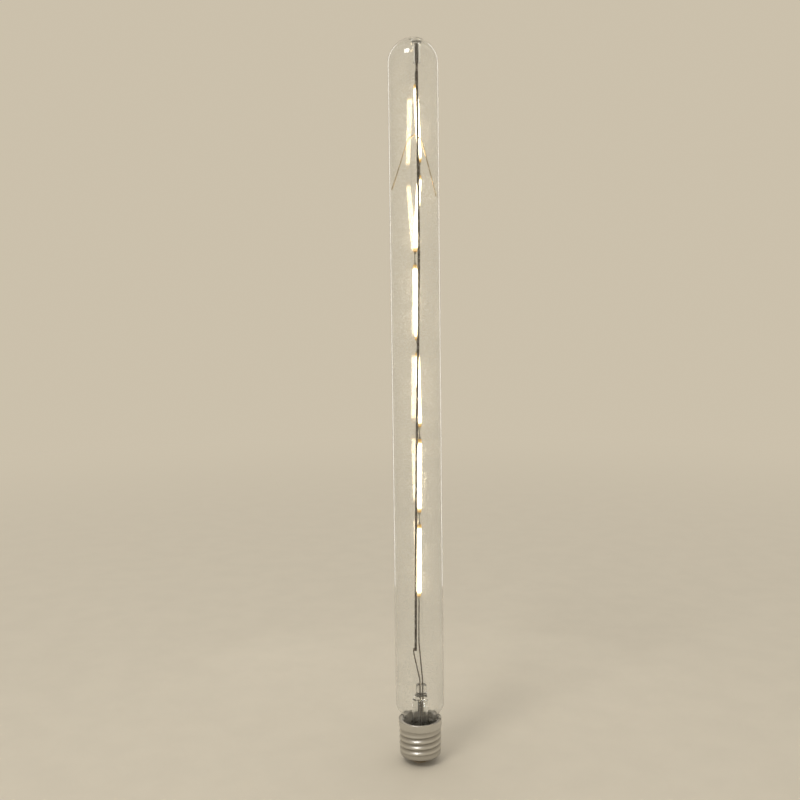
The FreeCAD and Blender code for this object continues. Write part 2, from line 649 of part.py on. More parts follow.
def lead_wires():
    """The two lead-in wires, from their welds in the tube through the pinch to the driver board."""
    radius = amount("Sizes.lead_diameter") / 2
    fit = amount("Sizes.rod_fit")
    half_lap = amount("Sizes.lead_lap") / 2
    forward = -amount("Sizes.lead_forward")
    end = amount(f"{BOARD_TOP} - Sizes.lead_land")
    bend = amount("Sizes.lead_bend")
    above = amount(f"{STEM_TOP} + Sizes.lead_rise")
    left = amount("Sizes.lead_across - Sizes.lead_spacing / 2")
    right = amount("Sizes.lead_across + Sizes.lead_spacing / 2")

    weld = amount(ROD_BOTTOM)
    beside_rod = ROD_END_ACROSS - amount("Sizes.rod_diameter") / 2 - radius - fit
    rod_forward = -amount("Sizes.rod_forward")
    points = [
        (beside_rod, rod_forward, weld + half_lap),
        (beside_rod, rod_forward, weld - half_lap),
        (left, forward, above),
        (left, forward, end),
    ]
    bent_wire("left_lead_wire", points, 2 * radius, bend)

    weld = amount(LINK_BOTTOM)
    link_front = amount(size("chain_back - tail_thickness - link_diameter"))
    before_link = link_front - radius - fit
    points = [
        (LINK_END_ACROSS, before_link, weld + half_lap),
        (LINK_END_ACROSS, before_link, weld - half_lap),
        (right, forward, above),
        (right, forward, end),
    ]
    bent_wire("right_lead_wire", points, 2 * radius, bend)


def thread_fall(turns):
    """How far a thread of equal round crests and roots lies inside its crest, that many turns from it."""
    pitch = amount("Sizes.thread_pitch")
    depth = amount("Sizes.thread_depth")
    radius = ((pitch / 2) ** 2 + depth ** 2) / (4 * depth)
    along = abs((turns + 0.5) % 1 - 0.5) * pitch
    if along <= pitch / 4:
        return radius - math.sqrt(radius ** 2 - along ** 2)
    return depth - radius + math.sqrt(radius ** 2 - (pitch / 2 - along) ** 2)


def thread_skin(inset):
    """One side of the rolled sheet: a wave that climbs round the axis and runs out at both ends."""
    low, high = amount(THREAD_BOTTOM), amount(THREAD_TOP)
    pitch, fade = amount("Sizes.thread_pitch"), amount("Sizes.thread_fade")
    mean, half_depth = amount(MEAN_RADIUS), amount("Sizes.thread_depth") / 2
    steps = round(THREAD_STEPS * (high - low) / pitch)
    rows = []
    for sector in range(THREAD_SECTORS + 1):
        angle = 2 * math.pi * (sector % THREAD_SECTORS) / THREAD_SECTORS
        row = []
        for step in range(steps + 1):
            height = low + (high - low) * step / steps
            share = min(1.0, (height - low) / fade, (high - height) / fade)
            strength = share * share * (3 - 2 * share)
            wave = half_depth - thread_fall((height - low) / pitch - sector / THREAD_SECTORS)
            radius = mean + wave * strength - inset
            row.append(FreeCAD.Vector(radius * math.cos(angle), radius * math.sin(angle), height))
        rows.append(row)
    surface = Part.BSplineSurface()
    surface.interpolate(rows)
    return surface.toShape()


def end_loop(skin, height):
    """The closed edge of a skin at one height, as a wire."""
    for edge in skin.Edges:
        if edge.isClosed() and abs(edge.BoundBox.ZMin - height) < 1e-3:
            return Part.Wire([edge])
    raise RuntimeError("the thread has no loop at this height")


def threaded_sleeve():
    """The rolled screw thread of the shell, as a sheet of even thickness."""
    outer = thread_skin(0)
    inner = thread_skin(amount("Sizes.shell_wall"))
    faces = [outer, inner]
    for height in (amount(THREAD_BOTTOM), amount(THREAD_TOP)):
        loops = [end_loop(outer, height), end_loop(inner, height)]
        faces.append(Part.makeFace(loops, "Part::FaceMakerBullseye"))
    shell = Part.Shell(faces)
    shell.sewShape()
    solid = Part.Solid(shell)
    if solid.Volume < 0:
        solid.reverse()
    sleeve = doc.addObject("Part::Feature", "threaded_sleeve")
    sleeve.Shape = solid
    return sleeve


def cap_shell():
    """The cap's shell, one sheet: lip and foot, rolled thread, step and plain collar."""
    wall = "Sizes.shell_wall"
    low_ring = new_body("shell_foot_ring")
    knee = f"{LIP_BOTTOM} + Sizes.shell_foot / 2"
    outside = f"{MEAN_RADIUS} + {wall} / 4"
    inside = f"{MEAN_RADIUS} - {wall} * 5 / 4"
    corners = [
        (LIP_RADIUS, LIP_BOTTOM),
        (FOOT_RADIUS, LIP_BOTTOM),
        (outside, knee),
        (outside, THREAD_BOTTOM),
        (inside, THREAD_BOTTOM),
        (inside, f"{knee} + {wall} / 4"),
        (f"{FOOT_RADIUS} - {wall} / 2", LIP_TOP),
        (LIP_RADIUS, LIP_TOP),
    ]
    turn(low_ring, outline(low_ring, "foot_outline", corners), "foot_turned")

    high_ring = new_body("shell_collar_ring")
    corners = [
        (inside, THREAD_TOP),
        (outside, THREAD_TOP),
        (COLLAR_RADIUS, COLLAR_BOTTOM),
        (COLLAR_RADIUS, CAP_TOP),
        (f"{COLLAR_RADIUS} - {wall}", CAP_TOP),
        (f"{COLLAR_RADIUS} - {wall}", f"{COLLAR_BOTTOM} + {wall} / 3"),
        (inside, f"{THREAD_TOP} + {wall}"),
    ]
    turn(high_ring, outline(high_ring, "collar_outline", corners), "collar_turned")
    lower = joined("Fuse", "shell_lower", low_ring, threaded_sleeve())
    return joined("Fuse", "cap_shell", lower, high_ring)


def cap_cement():
    """The ring of cement that holds the glass neck in the collar, with a hole for the side wire."""
    body = new_body("cement_blank")
    top = f"{CAP_TOP} - Sizes.cement_drop"
    bottom = f"{top} - Sizes.cement_height"
    inner = f"{NECK_RADIUS} + Sizes.cement_fit"
    outer = f"{COLLAR_RADIUS} - Sizes.shell_wall - Sizes.cement_fit"
    corners = [(inner, bottom), (outer, bottom), (outer, top), (inner, top)]
    turn(body, outline(body, "cement_outline", corners), "cement_turned")
    hole = part_rod("cement_hole", size("thin_wire / 2 + cement_fit"), size("cement_height + 2"),
                    WIRE_RADIUS, "0", f"{bottom} - 1")
    return joined("Cut", "cap_cement", body, hole)


def cap_insulator():
    """The black glass bush between the shell and the bottom contact."""
    body = new_body("cap_insulator")
    hole = size("insulator_bore / 2")
    fit = size("insulator_fit")
    corners = [
        (hole, size("contact_height")),
        (size("contact_diameter / 2 + insulator_edge"), size("contact_height")),
        (f"{LIP_RADIUS} - {fit}", LIP_BOTTOM),
        (f"{LIP_RADIUS} - {fit}", LIP_TOP),
        (f"{FOOT_RADIUS} - Sizes.shell_wall", LIP_TOP),
        (f"{FOOT_RADIUS} - Sizes.shell_wall", INSULATOR_TOP),
        (hole, INSULATOR_TOP),
    ]
    turn(body, outline(body, "insulator_outline", corners), "insulator_turned")
    return body


def centre_contact():
    """The bottom contact: a shallow brass cup with a flat face and a hole for the solder."""
    body = new_body("centre_contact")
    wall = size("contact_wall")
    rim = size("contact_diameter / 2")
    flat = size("contact_face / 2")
    corners = [
        (size("solder_face / 2"), "0"),
        (flat, "0"),
        (rim, f"Sizes.contact_height - {wall}"),
        (rim, "Sizes.contact_height"),
        (f"{rim} - {wall}", "Sizes.contact_height"),
        (f"{flat} - {wall} / 3", wall),
        (size("solder_neck / 2"), wall),
    ]
    turn(body, outline(body, "contact_outline", corners), "contact_turned")
    return body


def contact_solder():
    """The plug of solder that fills the contact's hole flush with its face."""
    plug = doc.addObject("Part::Cone", "contact_solder")
    plug.Label = "contact_solder"
    bind(plug, Radius1=size("solder_face / 2"), Radius2=size("solder_neck / 2"), Height="Sizes.contact_wall")
    return plug


def rim_solder():
    """The drop of solder that ties the side wire to the cap's rim."""
    ball = doc.addObject("Part::Ellipsoid", "rim_solder_drop")
    reach = f"({COLLAR_RADIUS} - ({NECK_RADIUS}) - Sizes.cement_fit) / 2"
    height = size("solder_height")
    bind(ball, Radius1=height, Radius2=reach, Radius3=size("solder_length / 2"))
    bind(ball, Placement__Base__x=f"{COLLAR_RADIUS} - {reach}", Placement__Base__z=CAP_TOP)
    upper = part_box("above_rim", f"2 * {reach}", size("solder_length"), height,
                     f"{COLLAR_RADIUS} - 2 * {reach}", size("0 - solder_length / 2"), CAP_TOP)
    drop = joined("Common", "rim_solder_upper", ball, upper)
    hole = part_rod("rim_wire_hole", size("thin_wire / 2"), f"2 * {height}", WIRE_RADIUS, "0",
                    f"{CAP_TOP} - {height} / 2")
    return joined("Cut", "rim_solder", drop, hole)


def driver_board():
    """The driver board: it stands on the insulator and ends just under the stem."""
    board = part_box("driver_board", size("board_width"), size("board_thickness"),
                     f"{BOARD_TOP} - ({INSULATOR_TOP})", size("0 - board_width / 2"), BOARD_FRONT,
                     INSULATOR_TOP)
    board.Label = "driver_board"

    left = size("0 - board_width / 2 + part_edge")
    right = size("board_width / 2 - part_edge")
    back = f"{BOARD_FRONT} + Sizes.board_thickness"
    rectifier = part_box("bridge_rectifier", size("rectifier_width"), size("rectifier_depth"),
                         size("rectifier_height"), f"{right} - Sizes.rectifier_width",
                         f"{BOARD_FRONT} - Sizes.rectifier_depth", f"{INSULATOR_TOP} + Sizes.part_edge")
    rectifier.Label = "bridge_rectifier"
    chip = part_box("driver_chip", size("chip_width"), size("chip_depth"), size("chip_height"),
                    left, back, f"{BOARD_TOP} - Sizes.part_edge - Sizes.chip_height")
    chip.Label = "driver_chip"

    capacitor = doc.addObject("Part::Cylinder", "smoothing_capacitor")
    capacitor.Label = "smoothing_capacitor"
    capacitor.Placement.Rotation = FreeCAD.Rotation(FreeCAD.Vector(0, 1, 0), 90)
    bind(capacitor, Radius=size("capacitor_diameter / 2"), Height=size("capacitor_length"),
         Placement__Base__x=size("0 - capacitor_length / 2"),
         Placement__Base__y=f"{back} + Sizes.capacitor_diameter / 2",
         Placement__Base__z=f"{INSULATOR_TOP} + Sizes.capacitor_diameter / 2")

    fuse = part_rod("fuse_resistor", size("fuse_diameter / 2"), size("fuse_length"),
                    f"{left} + Sizes.fuse_diameter / 2", f"{BOARD_FRONT} - Sizes.fuse_diameter / 2",
                    f"{BOARD_TOP} - Sizes.part_edge - Sizes.fuse_length")
    fuse.Label = "fuse_resistor"


def cap_wires():
    """The wire from the fusible resistor to the bottom contact, and the one from the board to the rim."""
    thin = amount("Sizes.thin_wire")
    floor = amount(INSULATOR_TOP)
    fuse_across = amount(size("0 - board_width / 2 + part_edge + fuse_diameter / 2"))
    fuse_front = amount(f"{BOARD_FRONT} - Sizes.fuse_diameter / 2")
    fuse_foot = amount(f"{BOARD_TOP} - Sizes.part_edge - Sizes.fuse_length")
    before_board = amount(f"{BOARD_FRONT} - Sizes.thin_wire")
    points = [
        (fuse_across, fuse_front, fuse_foot),
        (fuse_across, fuse_front, floor + 3 * thin),
        (0, before_board, floor + 2 * thin),
        (0, before_board, floor),
        (0, 0, amount("Sizes.contact_height + Sizes.insulator_cone / 2")),
        (0, 0, amount("Sizes.contact_wall")),
    ]
    bent_wire("contact_wire", points, thin, 2 * thin)

    across = amount(WIRE_RADIUS)
    board_edge = amount(size("board_width / 2"))
    middle = amount(f"{BOARD_FRONT} + Sizes.board_thickness / 2")
    foot = amount(f"{STEM_BOTTOM} - Sizes.part_edge - Sizes.board_clear - Sizes.rectifier_height")
    top = amount(CAP_TOP)
    points = [
        (board_edge + thin / 4, middle, foot),
        (across, 0, foot + thin),
        (across, 0, top + 2 * thin),
    ]
    bent_wire("shell_wire", points, thin, 2 * thin)


glass_tube()
glass_stem()
support_rod()
centring_spring()
for number in range(FILAMENTS):
    filament(number)
    filament_end(number, 1)
    filament_end(number, -1)
chain_links()
lead_wires()
cap_shell()
cap_cement()
cap_insulator()
centre_contact()
contact_solder()
rim_solder()
driver_board()
cap_wires()
doc.recompute()

NODES = ["glass_tube", "glass_stem", "support_rod", "centring_spring", "top_link", "bottom_link"]
NODES += ["left_lead_wire", "right_lead_wire", "cap_shell", "cap_cement", "cap_insulator"]
NODES += ["centre_contact", "contact_solder", "rim_solder", "driver_board", "bridge_rectifier"]
NODES += ["driver_chip", "smoothing_capacitor", "fuse_resistor", "contact_wire", "shell_wire"]
for number in range(1, FILAMENTS + 1):
    NODES += [f"filament_{number}", f"filament_{number}_upper_pin", f"filament_{number}_lower_pin"]

for item in doc.Objects:
    if "Invalid" in item.State or "Error" in item.State:
        raise RuntimeError(f"{item.Label} failed: {item.State}")
for node in NODES:
    shape = doc.getObjectsByLabel(node)[0].Shape
    if shape.isNull() or not shape.isValid() or len(shape.Solids) != 1:
        raise RuntimeError(f"{node} is not one valid solid")

os.makedirs("parts", exist_ok=True)
for node in NODES:
    shape = doc.getObjectsByLabel(node)[0].Shape
    shape.exportStep(f"parts/{node}.step")
    box = shape.BoundBox
    print(f"{node}: {shape.Volume:.1f} mm3, z {box.ZMin:.2f} to {box.ZMax:.2f}")
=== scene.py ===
# %% [markdown]
# # A lit tubular lamp, dressed around its CAD model
#
# The CAD model gives every piece its place and its real size. This lesson gives the lamp its looks:
# clear blown glass that light really passes through, light bars that glow, dark drawn wire, and a
# rolled screw cap. Everything is in metres, in the frame of the CAD model, with +Z along the tube.

# %% Load the CAD model as a fixed frame
import bmesh
import bpy
import math
from mathutils import Matrix, Vector


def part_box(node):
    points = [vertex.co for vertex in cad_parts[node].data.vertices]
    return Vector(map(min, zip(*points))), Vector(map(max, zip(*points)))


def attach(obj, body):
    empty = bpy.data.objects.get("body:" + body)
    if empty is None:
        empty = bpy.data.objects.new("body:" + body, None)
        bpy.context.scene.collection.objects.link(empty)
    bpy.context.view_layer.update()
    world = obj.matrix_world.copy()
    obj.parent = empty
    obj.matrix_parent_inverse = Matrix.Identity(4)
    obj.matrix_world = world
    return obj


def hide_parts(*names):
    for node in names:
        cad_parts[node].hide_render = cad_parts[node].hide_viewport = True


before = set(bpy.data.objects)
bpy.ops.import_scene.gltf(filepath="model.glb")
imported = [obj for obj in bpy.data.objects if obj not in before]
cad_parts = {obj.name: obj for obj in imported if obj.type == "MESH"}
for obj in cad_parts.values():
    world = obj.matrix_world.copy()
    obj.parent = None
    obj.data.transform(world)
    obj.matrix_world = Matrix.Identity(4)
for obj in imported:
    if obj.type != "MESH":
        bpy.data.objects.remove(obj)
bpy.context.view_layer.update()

MM = 0.001

# %% [markdown]
# The camera stands where the photographer stood: a bit more than half a metre away, a little left
# of the lamp, and it looks down by five degrees. It is turned slightly about its own axis, so the
# lamp leans to the left by less than a degree. It stands a few centimetres lower than the
# photographer did, and its lens is a touch wider, so that the cap is in the picture too.

# %% Camera
LENS = 43.0
DISTANCE = 573 * MM
HEIGHT = 275 * MM
LEFT_OF_LAMP = 10 * MM
LOOKS_DOWN = math.radians(5.0)
TURNED = math.radians(0.73)

camera = bpy.data.objects.new("camera", bpy.data.cameras.new("camera"))
camera.data.lens = LENS
camera.data.clip_start = 10 * MM
camera.location = (-LEFT_OF_LAMP, -DISTANCE, HEIGHT)
aim = Matrix.Rotation(math.radians(90) - LOOKS_DOWN, 3, "X") @ Matrix.Rotation(-TURNED, 3, "Z")
camera.rotation_euler = aim.to_euler()
bpy.context.scene.collection.objects.link(camera)
bpy.context.scene.camera = camera
bpy.context.scene.view_settings.view_transform = "Standard"

# %% [markdown]
# Materials and Geometry Nodes are both node trees. Wiring them by hand in code is long, so two
# small classes do it. `Value` wraps one output socket, and each operator on it adds the Math node
# for that sum, so a formula in the script looks like a formula. `Tree.add` adds any other node.

# %% Node trees written as formulas
class Value:
    """One output socket that Python can calculate with."""

    def __init__(self, tree, socket):
        self.tree = tree
        self.socket = socket

    def output(self, name):
        """Another output of the same node."""
        return Value(self.tree, self.socket.node.outputs[name])

    def __add__(self, other):
        return self.tree.calculate("ADD", self, other)

    def __radd__(self, other):
        return self.tree.calculate("ADD", other, self)

    def __sub__(self, other):
        return self.tree.calculate("SUBTRACT", self, other)

    def __rsub__(self, other):
        return self.tree.calculate("SUBTRACT", other, self)

    def __mul__(self, other):
        return self.tree.calculate("MULTIPLY", self, other)

    def __rmul__(self, other):
        return self.tree.calculate("MULTIPLY", other, self)

    def __truediv__(self, other):
        return self.tree.calculate("DIVIDE", self, other)

    def __pow__(self, other):
        return self.tree.calculate("POWER", self, other)


class Tree:
    """A node tree that is filled by code."""

    def __init__(self, tree):
        self.tree = tree

    def add(self, kind, sockets=None, stops=None, **settings):
        """Add a node: its settings, a ramp's stops, then its sockets' values or links."""
        node = self.tree.nodes.new(kind)
        for name, setting in settings.items():
            setattr(node, name, setting)
        for index, (position, colour) in enumerate(stops or []):
            points = node.color_ramp.elements
            point = points[index] if index < 2 else points.new(position)
            point.position = position
            point.color = (*colour, 1.0)
        for name, value in (sockets or {}).items():
            self.feed(node.inputs[name], value)
        return Value(self, node.outputs[0])

    def feed(self, socket, value):
        """Link a value to an input socket, or set the socket to a plain number or colour."""
        if isinstance(value, Value):
            self.tree.links.new(value.socket, socket)
        else:
            socket.default_value = value

    def calculate(self, operation, *values):
        """One Math node."""
        return self.add("ShaderNodeMath", dict(enumerate(values)), operation=operation)

    def fade(self, value, start, end):
        """0 at start, 1 at end, smooth between them and level outside."""
        sockets = {"Value": value, "From Min": start, "From Max": end}
        return self.add("ShaderNodeMapRange", sockets, interpolation_type="SMOOTHSTEP")

    def between(self, mask, first, second):
        """The first colour where the mask is 0, the second where it is 1."""
        mixed = self.add("ShaderNodeMix", {0: mask, 6: first, 7: second}, data_type="RGBA")
        return mixed.output(2)


# %% [markdown]
# A finish starts from one Principled shader. What is the same all over goes on the shader's own
# sockets. What changes over the surface is worked out from the Object coordinates: the objects sit
# at the origin, so these are places on the lamp in metres, and a pattern keeps its real scale.

# %% Finishes: a common start
def new_finish(name, plain):
    """A material, its tree and its one Principled shader with plain values."""
    material = bpy.data.materials.new(name)
    material.use_nodes = True
    shader = material.node_tree.nodes["Principled BSDF"]
    for socket, value in plain.items():
        shader.inputs[socket].default_value = value
    return material, Tree(material.node_tree), shader


def grain(tree, per_metre, stretch=(1.0, 1.0, 1.0), detail=3.0):
    """Noise from 0 to 1 with so many features in a metre, squeezed or stretched along the axes."""
    place = tree.add("ShaderNodeTexCoord").output("Object")
    place = tree.add("ShaderNodeMapping", {"Vector": place, "Scale": stretch})
    return tree.add("ShaderNodeTexNoise", {"Vector": place, "Scale": per_metre, "Detail": detail})


def colour(red, green, blue):
    """A colour for a socket."""
    return (red, green, blue, 1.0)


def relief(tree, shader, height, depth):
    """Let a height from 0 to 1 raise the surface by a depth in metres, as bump."""
    bump = tree.add("ShaderNodeBump", {"Height": height, "Distance": depth})
    tree.feed(shader.inputs["Normal"], bump)


# %% [markdown]
# Clear glass needs nothing but a Principled shader with full transmission: it bends and mirrors
# light by itself, because the tube is modelled with a real wall. What makes it look like a lamp
# that has been used is a little dust. A speck of dust is a rough spot, and the rough spots near a
# lit bar pick up its light. The outside is wiped cleaner than the inside. Drawing the tube left
# long, very shallow ripples in its wall.

# %% Clear glass
BLOWN_TINT = (0.992, 0.996, 0.993)
FUSED_TINT = (0.985, 0.992, 0.988)
VEIL = 0.985
GLASS_IOR = 1.52
SPECK_EDGE = 0.05
CLOUDS_PER_METRE = 60.0
CLOUD_FADE = (0.30, 0.55)
RIPPLES_PER_METRE = 90.0
RIPPLE_STRETCH = (1.0, 1.0, 0.04)
RIPPLE_DEPTH = 0.004 * MM


def clear_glass(name, specks_per_metre, dust_roughness, dust_from, tint):
    """Blown glass with specks of dust; more specks for a lower dust_from."""
    plain = {"Transmission Weight": 1.0, "IOR": GLASS_IOR}
    material, tree, shader = new_finish(name, plain)
    speck = tree.fade(grain(tree, specks_per_metre, detail=1.0), dust_from, dust_from + SPECK_EDGE)
    cloud = tree.fade(grain(tree, CLOUDS_PER_METRE), *CLOUD_FADE)
    tree.feed(shader.inputs["Roughness"], speck * cloud * dust_roughness)
    clean = colour(*tint)
    veiled = colour(*(VEIL * channel for channel in tint))
    tree.feed(shader.inputs["Base Color"], tree.between(cloud, clean, veiled))
    relief(tree, shader, grain(tree, RIPPLES_PER_METRE, RIPPLE_STRETCH), RIPPLE_DEPTH)
    return material


outer_glass = clear_glass("clear_glass_outside", specks_per_metre=1400.0, dust_roughness=0.25,
                          dust_from=0.68, tint=BLOWN_TINT)
inner_glass = clear_glass("clear_glass_inside", specks_per_metre=3200.0, dust_roughness=0.9,
                          dust_from=0.61, tint=BLOWN_TINT)
fused_glass = clear_glass("fused_glass", specks_per_metre=1400.0, dust_roughness=0.10,
                          dust_from=0.70, tint=FUSED_TINT)
print("glass:", outer_glass.name, inner_glass.name, fused_glass.name)

# %% [markdown]
# The coating of a light bar is a soft resin full of yellow powder, over a row of tiny chips. Lit,
# it is far brighter than white paper, so it shows as white, and its dimmer ends, past the last
# chip, fade to yellow and orange. The bars carry an attribute with the distance from the nearer
# end, and a colour ramp along it gives the fade. That distance, the fade's length and the spacing
# of the chips are in millimetres. One strength for all keeps the material plain.

# %% Light bars: coating
LIT_STRENGTH = 22.0
FADE_LENGTH = 4.5
CHIP_SPACING = 1.5
CHIP_SHADE = 0.25
UNLIT_COAT = (0.55, 0.33, 0.08)
COAT_GRAINS_PER_METRE = 700.0
COAT_GRAIN_DEPTH = 0.02 * MM


def lit_coat():
    """Warm white light that fades to orange towards the ends of a bar."""
    plain = {"Roughness": 0.5, "Emission Strength": LIT_STRENGTH, "Base Color": colour(*UNLIT_COAT)}
    material, tree, shader = new_finish("filament_coat", plain)
    from_end = tree.add("ShaderNodeAttribute", attribute_name="from_end").output("Fac")
    # A new ramp already has two points, so the two end stops come first.
    stops = [
        (0.0, (0.014, 0.007, 0.0)),
        (1.0, (1.0, 0.84, 0.56)),
        (0.20, (0.026, 0.016, 0.004)),
        (0.45, (0.045, 0.033, 0.016)),
        (0.62, (0.22, 0.17, 0.09)),
    ]
    glow = tree.add("ShaderNodeValToRGB", {"Fac": from_end / FADE_LENGTH}, stops)
    chips = tree.calculate("SINE", from_end * (2 * math.pi / CHIP_SPACING)) * 0.5 + 0.5
    dimmed = tree.between(chips * CHIP_SHADE, glow, colour(0.0, 0.0, 0.0))
    tree.feed(shader.inputs["Emission Color"], dimmed)
    relief(tree, shader, grain(tree, COAT_GRAINS_PER_METRE), COAT_GRAIN_DEPTH)
    return material


filament_coat = lit_coat()

# %% [markdown]
# The wires are drawn through a die, which leaves fine lines along them, and the heat of the seals
# has darkened them. One function makes them all: lines are noise that is stretched along the lamp,
# and a wide noise lets the darker oxide come and go.

# %% Drawn and pressed metals
DRAWN_LINES_PER_METRE = 2500.0
DRAWN_LINE_STRETCH = (1.0, 1.0, 0.02)
DRAWN_LINE_DEPTH = 0.012 * MM
OXIDE_PER_METRE = 120.0
OXIDE_FADE = (0.30, 0.70)


def drawn_metal(name, dark, bright, roughness, metallic=1.0):
    """Metal with lines along the lamp and patches of oxide."""
    material, tree, shader = new_finish(name, {"Metallic": metallic})
    along = grain(tree, DRAWN_LINES_PER_METRE, DRAWN_LINE_STRETCH)
    patches = tree.fade(grain(tree, OXIDE_PER_METRE, detail=5.0), *OXIDE_FADE)
    tree.feed(shader.inputs["Base Color"], tree.between(patches, colour(*dark), colour(*bright)))
    tree.feed(shader.inputs["Roughness"], along * 0.2 + (1 - patches) * 0.15 + (roughness - 0.15))
    relief(tree, shader, along, DRAWN_LINE_DEPTH)
    return material


rod_metal = drawn_metal("rod_metal", (0.030, 0.020, 0.012), (0.075, 0.052, 0.034), 0.42, 0.85)
spring_metal = drawn_metal("spring_metal", (0.42, 0.33, 0.20), (0.72, 0.60, 0.43), 0.24)
nickel_wire = drawn_metal("nickel_wire", (0.07, 0.05, 0.035), (0.16, 0.12, 0.09), 0.38)
pin_metal = drawn_metal("pin_metal", (0.25, 0.22, 0.18), (0.50, 0.46, 0.40), 0.32)
tinned_wire = drawn_metal("tinned_wire", (0.48, 0.48, 0.48), (0.70, 0.70, 0.69), 0.30)
contact_brass = drawn_metal("contact_brass", (0.55, 0.38, 0.15), (0.80, 0.60, 0.28), 0.28)
print("metals made")

# %% [markdown]
# The cap is one thin rolled sheet with a plated finish. Rolling leaves faint rings round it, and
# screwing it in and out rubs the crests of the thread brighter than the grooves.

# %% Plated cap
DULL_PLATING = (0.40, 0.385, 0.36)
RUBBED_PLATING = (0.66, 0.65, 0.62)
STAINED_PLATING = (0.34, 0.32, 0.29)
RINGS_PER_METRE = 3000.0
RING_STRETCH = (0.03, 0.03, 1.0)
RING_DEPTH = 0.010 * MM
STAINS_PER_METRE = 250.0
STAIN_SHARE = 0.35


def plated_cap(crest_radius, groove_radius):
    """Bright plating: rings from rolling, duller grooves, rubbed crests."""
    material, tree, shader = new_finish("cap_metal", {"Metallic": 1.0})
    place = tree.add("ShaderNodeTexCoord").output("Object")
    across = tree.add("ShaderNodeSeparateXYZ", {"Vector": place})
    radius = (across * across + across.output("Y") * across.output("Y")) ** 0.5
    rubbed = tree.fade(radius, groove_radius, crest_radius)
    rings = grain(tree, RINGS_PER_METRE, RING_STRETCH)
    blotch = grain(tree, STAINS_PER_METRE)
    base = tree.between(rubbed, colour(*DULL_PLATING), colour(*RUBBED_PLATING))
    stained = tree.between(blotch * STAIN_SHARE, base, colour(*STAINED_PLATING))
    tree.feed(shader.inputs["Base Color"], stained)
    tree.feed(shader.inputs["Roughness"], 0.34 - rubbed * 0.12 + rings * 0.10 + blotch * 0.06)
    relief(tree, shader, rings, RING_DEPTH)
    return material


# %% [markdown]
# The rest of the cap: hard pale cement, black glass round the contact, solder, and the driver
# board with its parts. They are different recipes of the same three things, a colour that varies,
# a gloss that varies and a bump.

# %% Cement, black glass, solder, board and parts
def plain_finish(name, dark, bright, per_metre, roughness, depth, plain=None):
    """A colour between dark and bright, with a grain that also changes gloss and height."""
    material, tree, shader = new_finish(name, plain or {})
    speckle = grain(tree, per_metre, detail=5.0)
    mask = tree.fade(speckle, 0.35, 0.65)
    tree.feed(shader.inputs["Base Color"], tree.between(mask, colour(*dark), colour(*bright)))
    tree.feed(shader.inputs["Roughness"], speckle * 0.2 + (roughness - 0.1))
    relief(tree, shader, speckle, depth)
    return material


cement = plain_finish("cement", (0.50, 0.45, 0.36), (0.68, 0.62, 0.52), 1200.0, 0.85, 0.06 * MM)
black_glass = plain_finish("black_glass", (0.010, 0.009, 0.012), (0.022, 0.020, 0.026), 300.0, 0.12,
                           0.03 * MM, {"Coat Weight": 0.6})
solder = plain_finish("solder", (0.50, 0.50, 0.50), (0.68, 0.68, 0.67), 500.0, 0.30, 0.08 * MM,
                      {"Metallic": 1.0})
board = plain_finish("board", (0.42, 0.40, 0.24), (0.50, 0.47, 0.30), 900.0, 0.55, 0.01 * MM)
black_resin = plain_finish("black_resin", (0.018, 0.018, 0.020), (0.035, 0.035, 0.038), 2500.0, 0.60,
                           0.01 * MM)
capacitor_sleeve = plain_finish("capacitor_sleeve", (0.016, 0.022, 0.040), (0.026, 0.034, 0.058), 200.0,
                                0.30, 0.02 * MM)
resistor_coat = plain_finish("resistor_coat", (0.05, 0.22, 0.17), (0.08, 0.30, 0.24), 1500.0, 0.50,
                             0.03 * MM)

# %% [markdown]
# A lathe turns an outline round one axis. The glass needs a little more: the nipple inside the
# dome stands off the axis, so its rings wander sideways as they shrink. The skin below is
# made of rings with the same number of points, joined one after another. Each ring has its own
# middle, size and height, and the whole tube, outside and inside, becomes one closed skin.

# %% A skin through rings
ROUND = 96


def ring(middle, half_x, half_y, height, power=2.0):
    """Points round a middle; a power over 2 squares the ring, a height may be a function of x, y."""
    points = []
    for index in range(ROUND):
        angle = 2 * math.pi * index / ROUND
        reach = (abs(math.cos(angle)) ** power + abs(math.sin(angle)) ** power) ** (-1 / power)
        x = middle[0] + half_x * reach * math.cos(angle)
        y = middle[1] + half_y * reach * math.sin(angle)
        points.append(Vector((x, y, height(x, y) if callable(height) else height)))
    return points


def new_piece(name, mesh, *materials):
    """Link a mesh to the scene as a piece, with its materials."""
    piece = bpy.data.objects.new(name, mesh)
    bpy.context.scene.collection.objects.link(piece)
    for material in materials:
        mesh.materials.append(material)
    return piece


def skin(name, sheets, *materials):
    """One mesh of closed skins: each is (rings, first pole, last pole, row where the material changes).

    Without poles the last ring is joined to the first one.
    """
    shape = bmesh.new()
    for rings, first, last, change in sheets:
        rows = [[shape.verts.new(point) for point in points] for points in rings]
        if first is None:
            rows.append(rows[0])
        for row, (lower, upper) in enumerate(zip(rows, rows[1:])):
            for index in range(ROUND):
                following = (index + 1) % ROUND
                face = shape.faces.new((lower[index], lower[following], upper[following], upper[index]))
                face.material_index = int(change is not None and row >= change)
        for pole, row in ((first, rows[0]), (last, rows[-1])):
            if pole is not None:
                tip = shape.verts.new(pole)
                for index in range(ROUND):
                    face = shape.faces.new((tip, row[index], row[(index + 1) % ROUND]))
                    face.material_index = int(change is not None and row is rows[-1])
    bmesh.ops.recalc_face_normals(shape, faces=shape.faces)
    mesh = bpy.data.meshes.new(name)
    shape.to_mesh(mesh)
    shape.free()
    mesh.shade_smooth()
    print(f"{name}: {len(mesh.polygons)} faces")
    return new_piece(name, mesh, *materials)


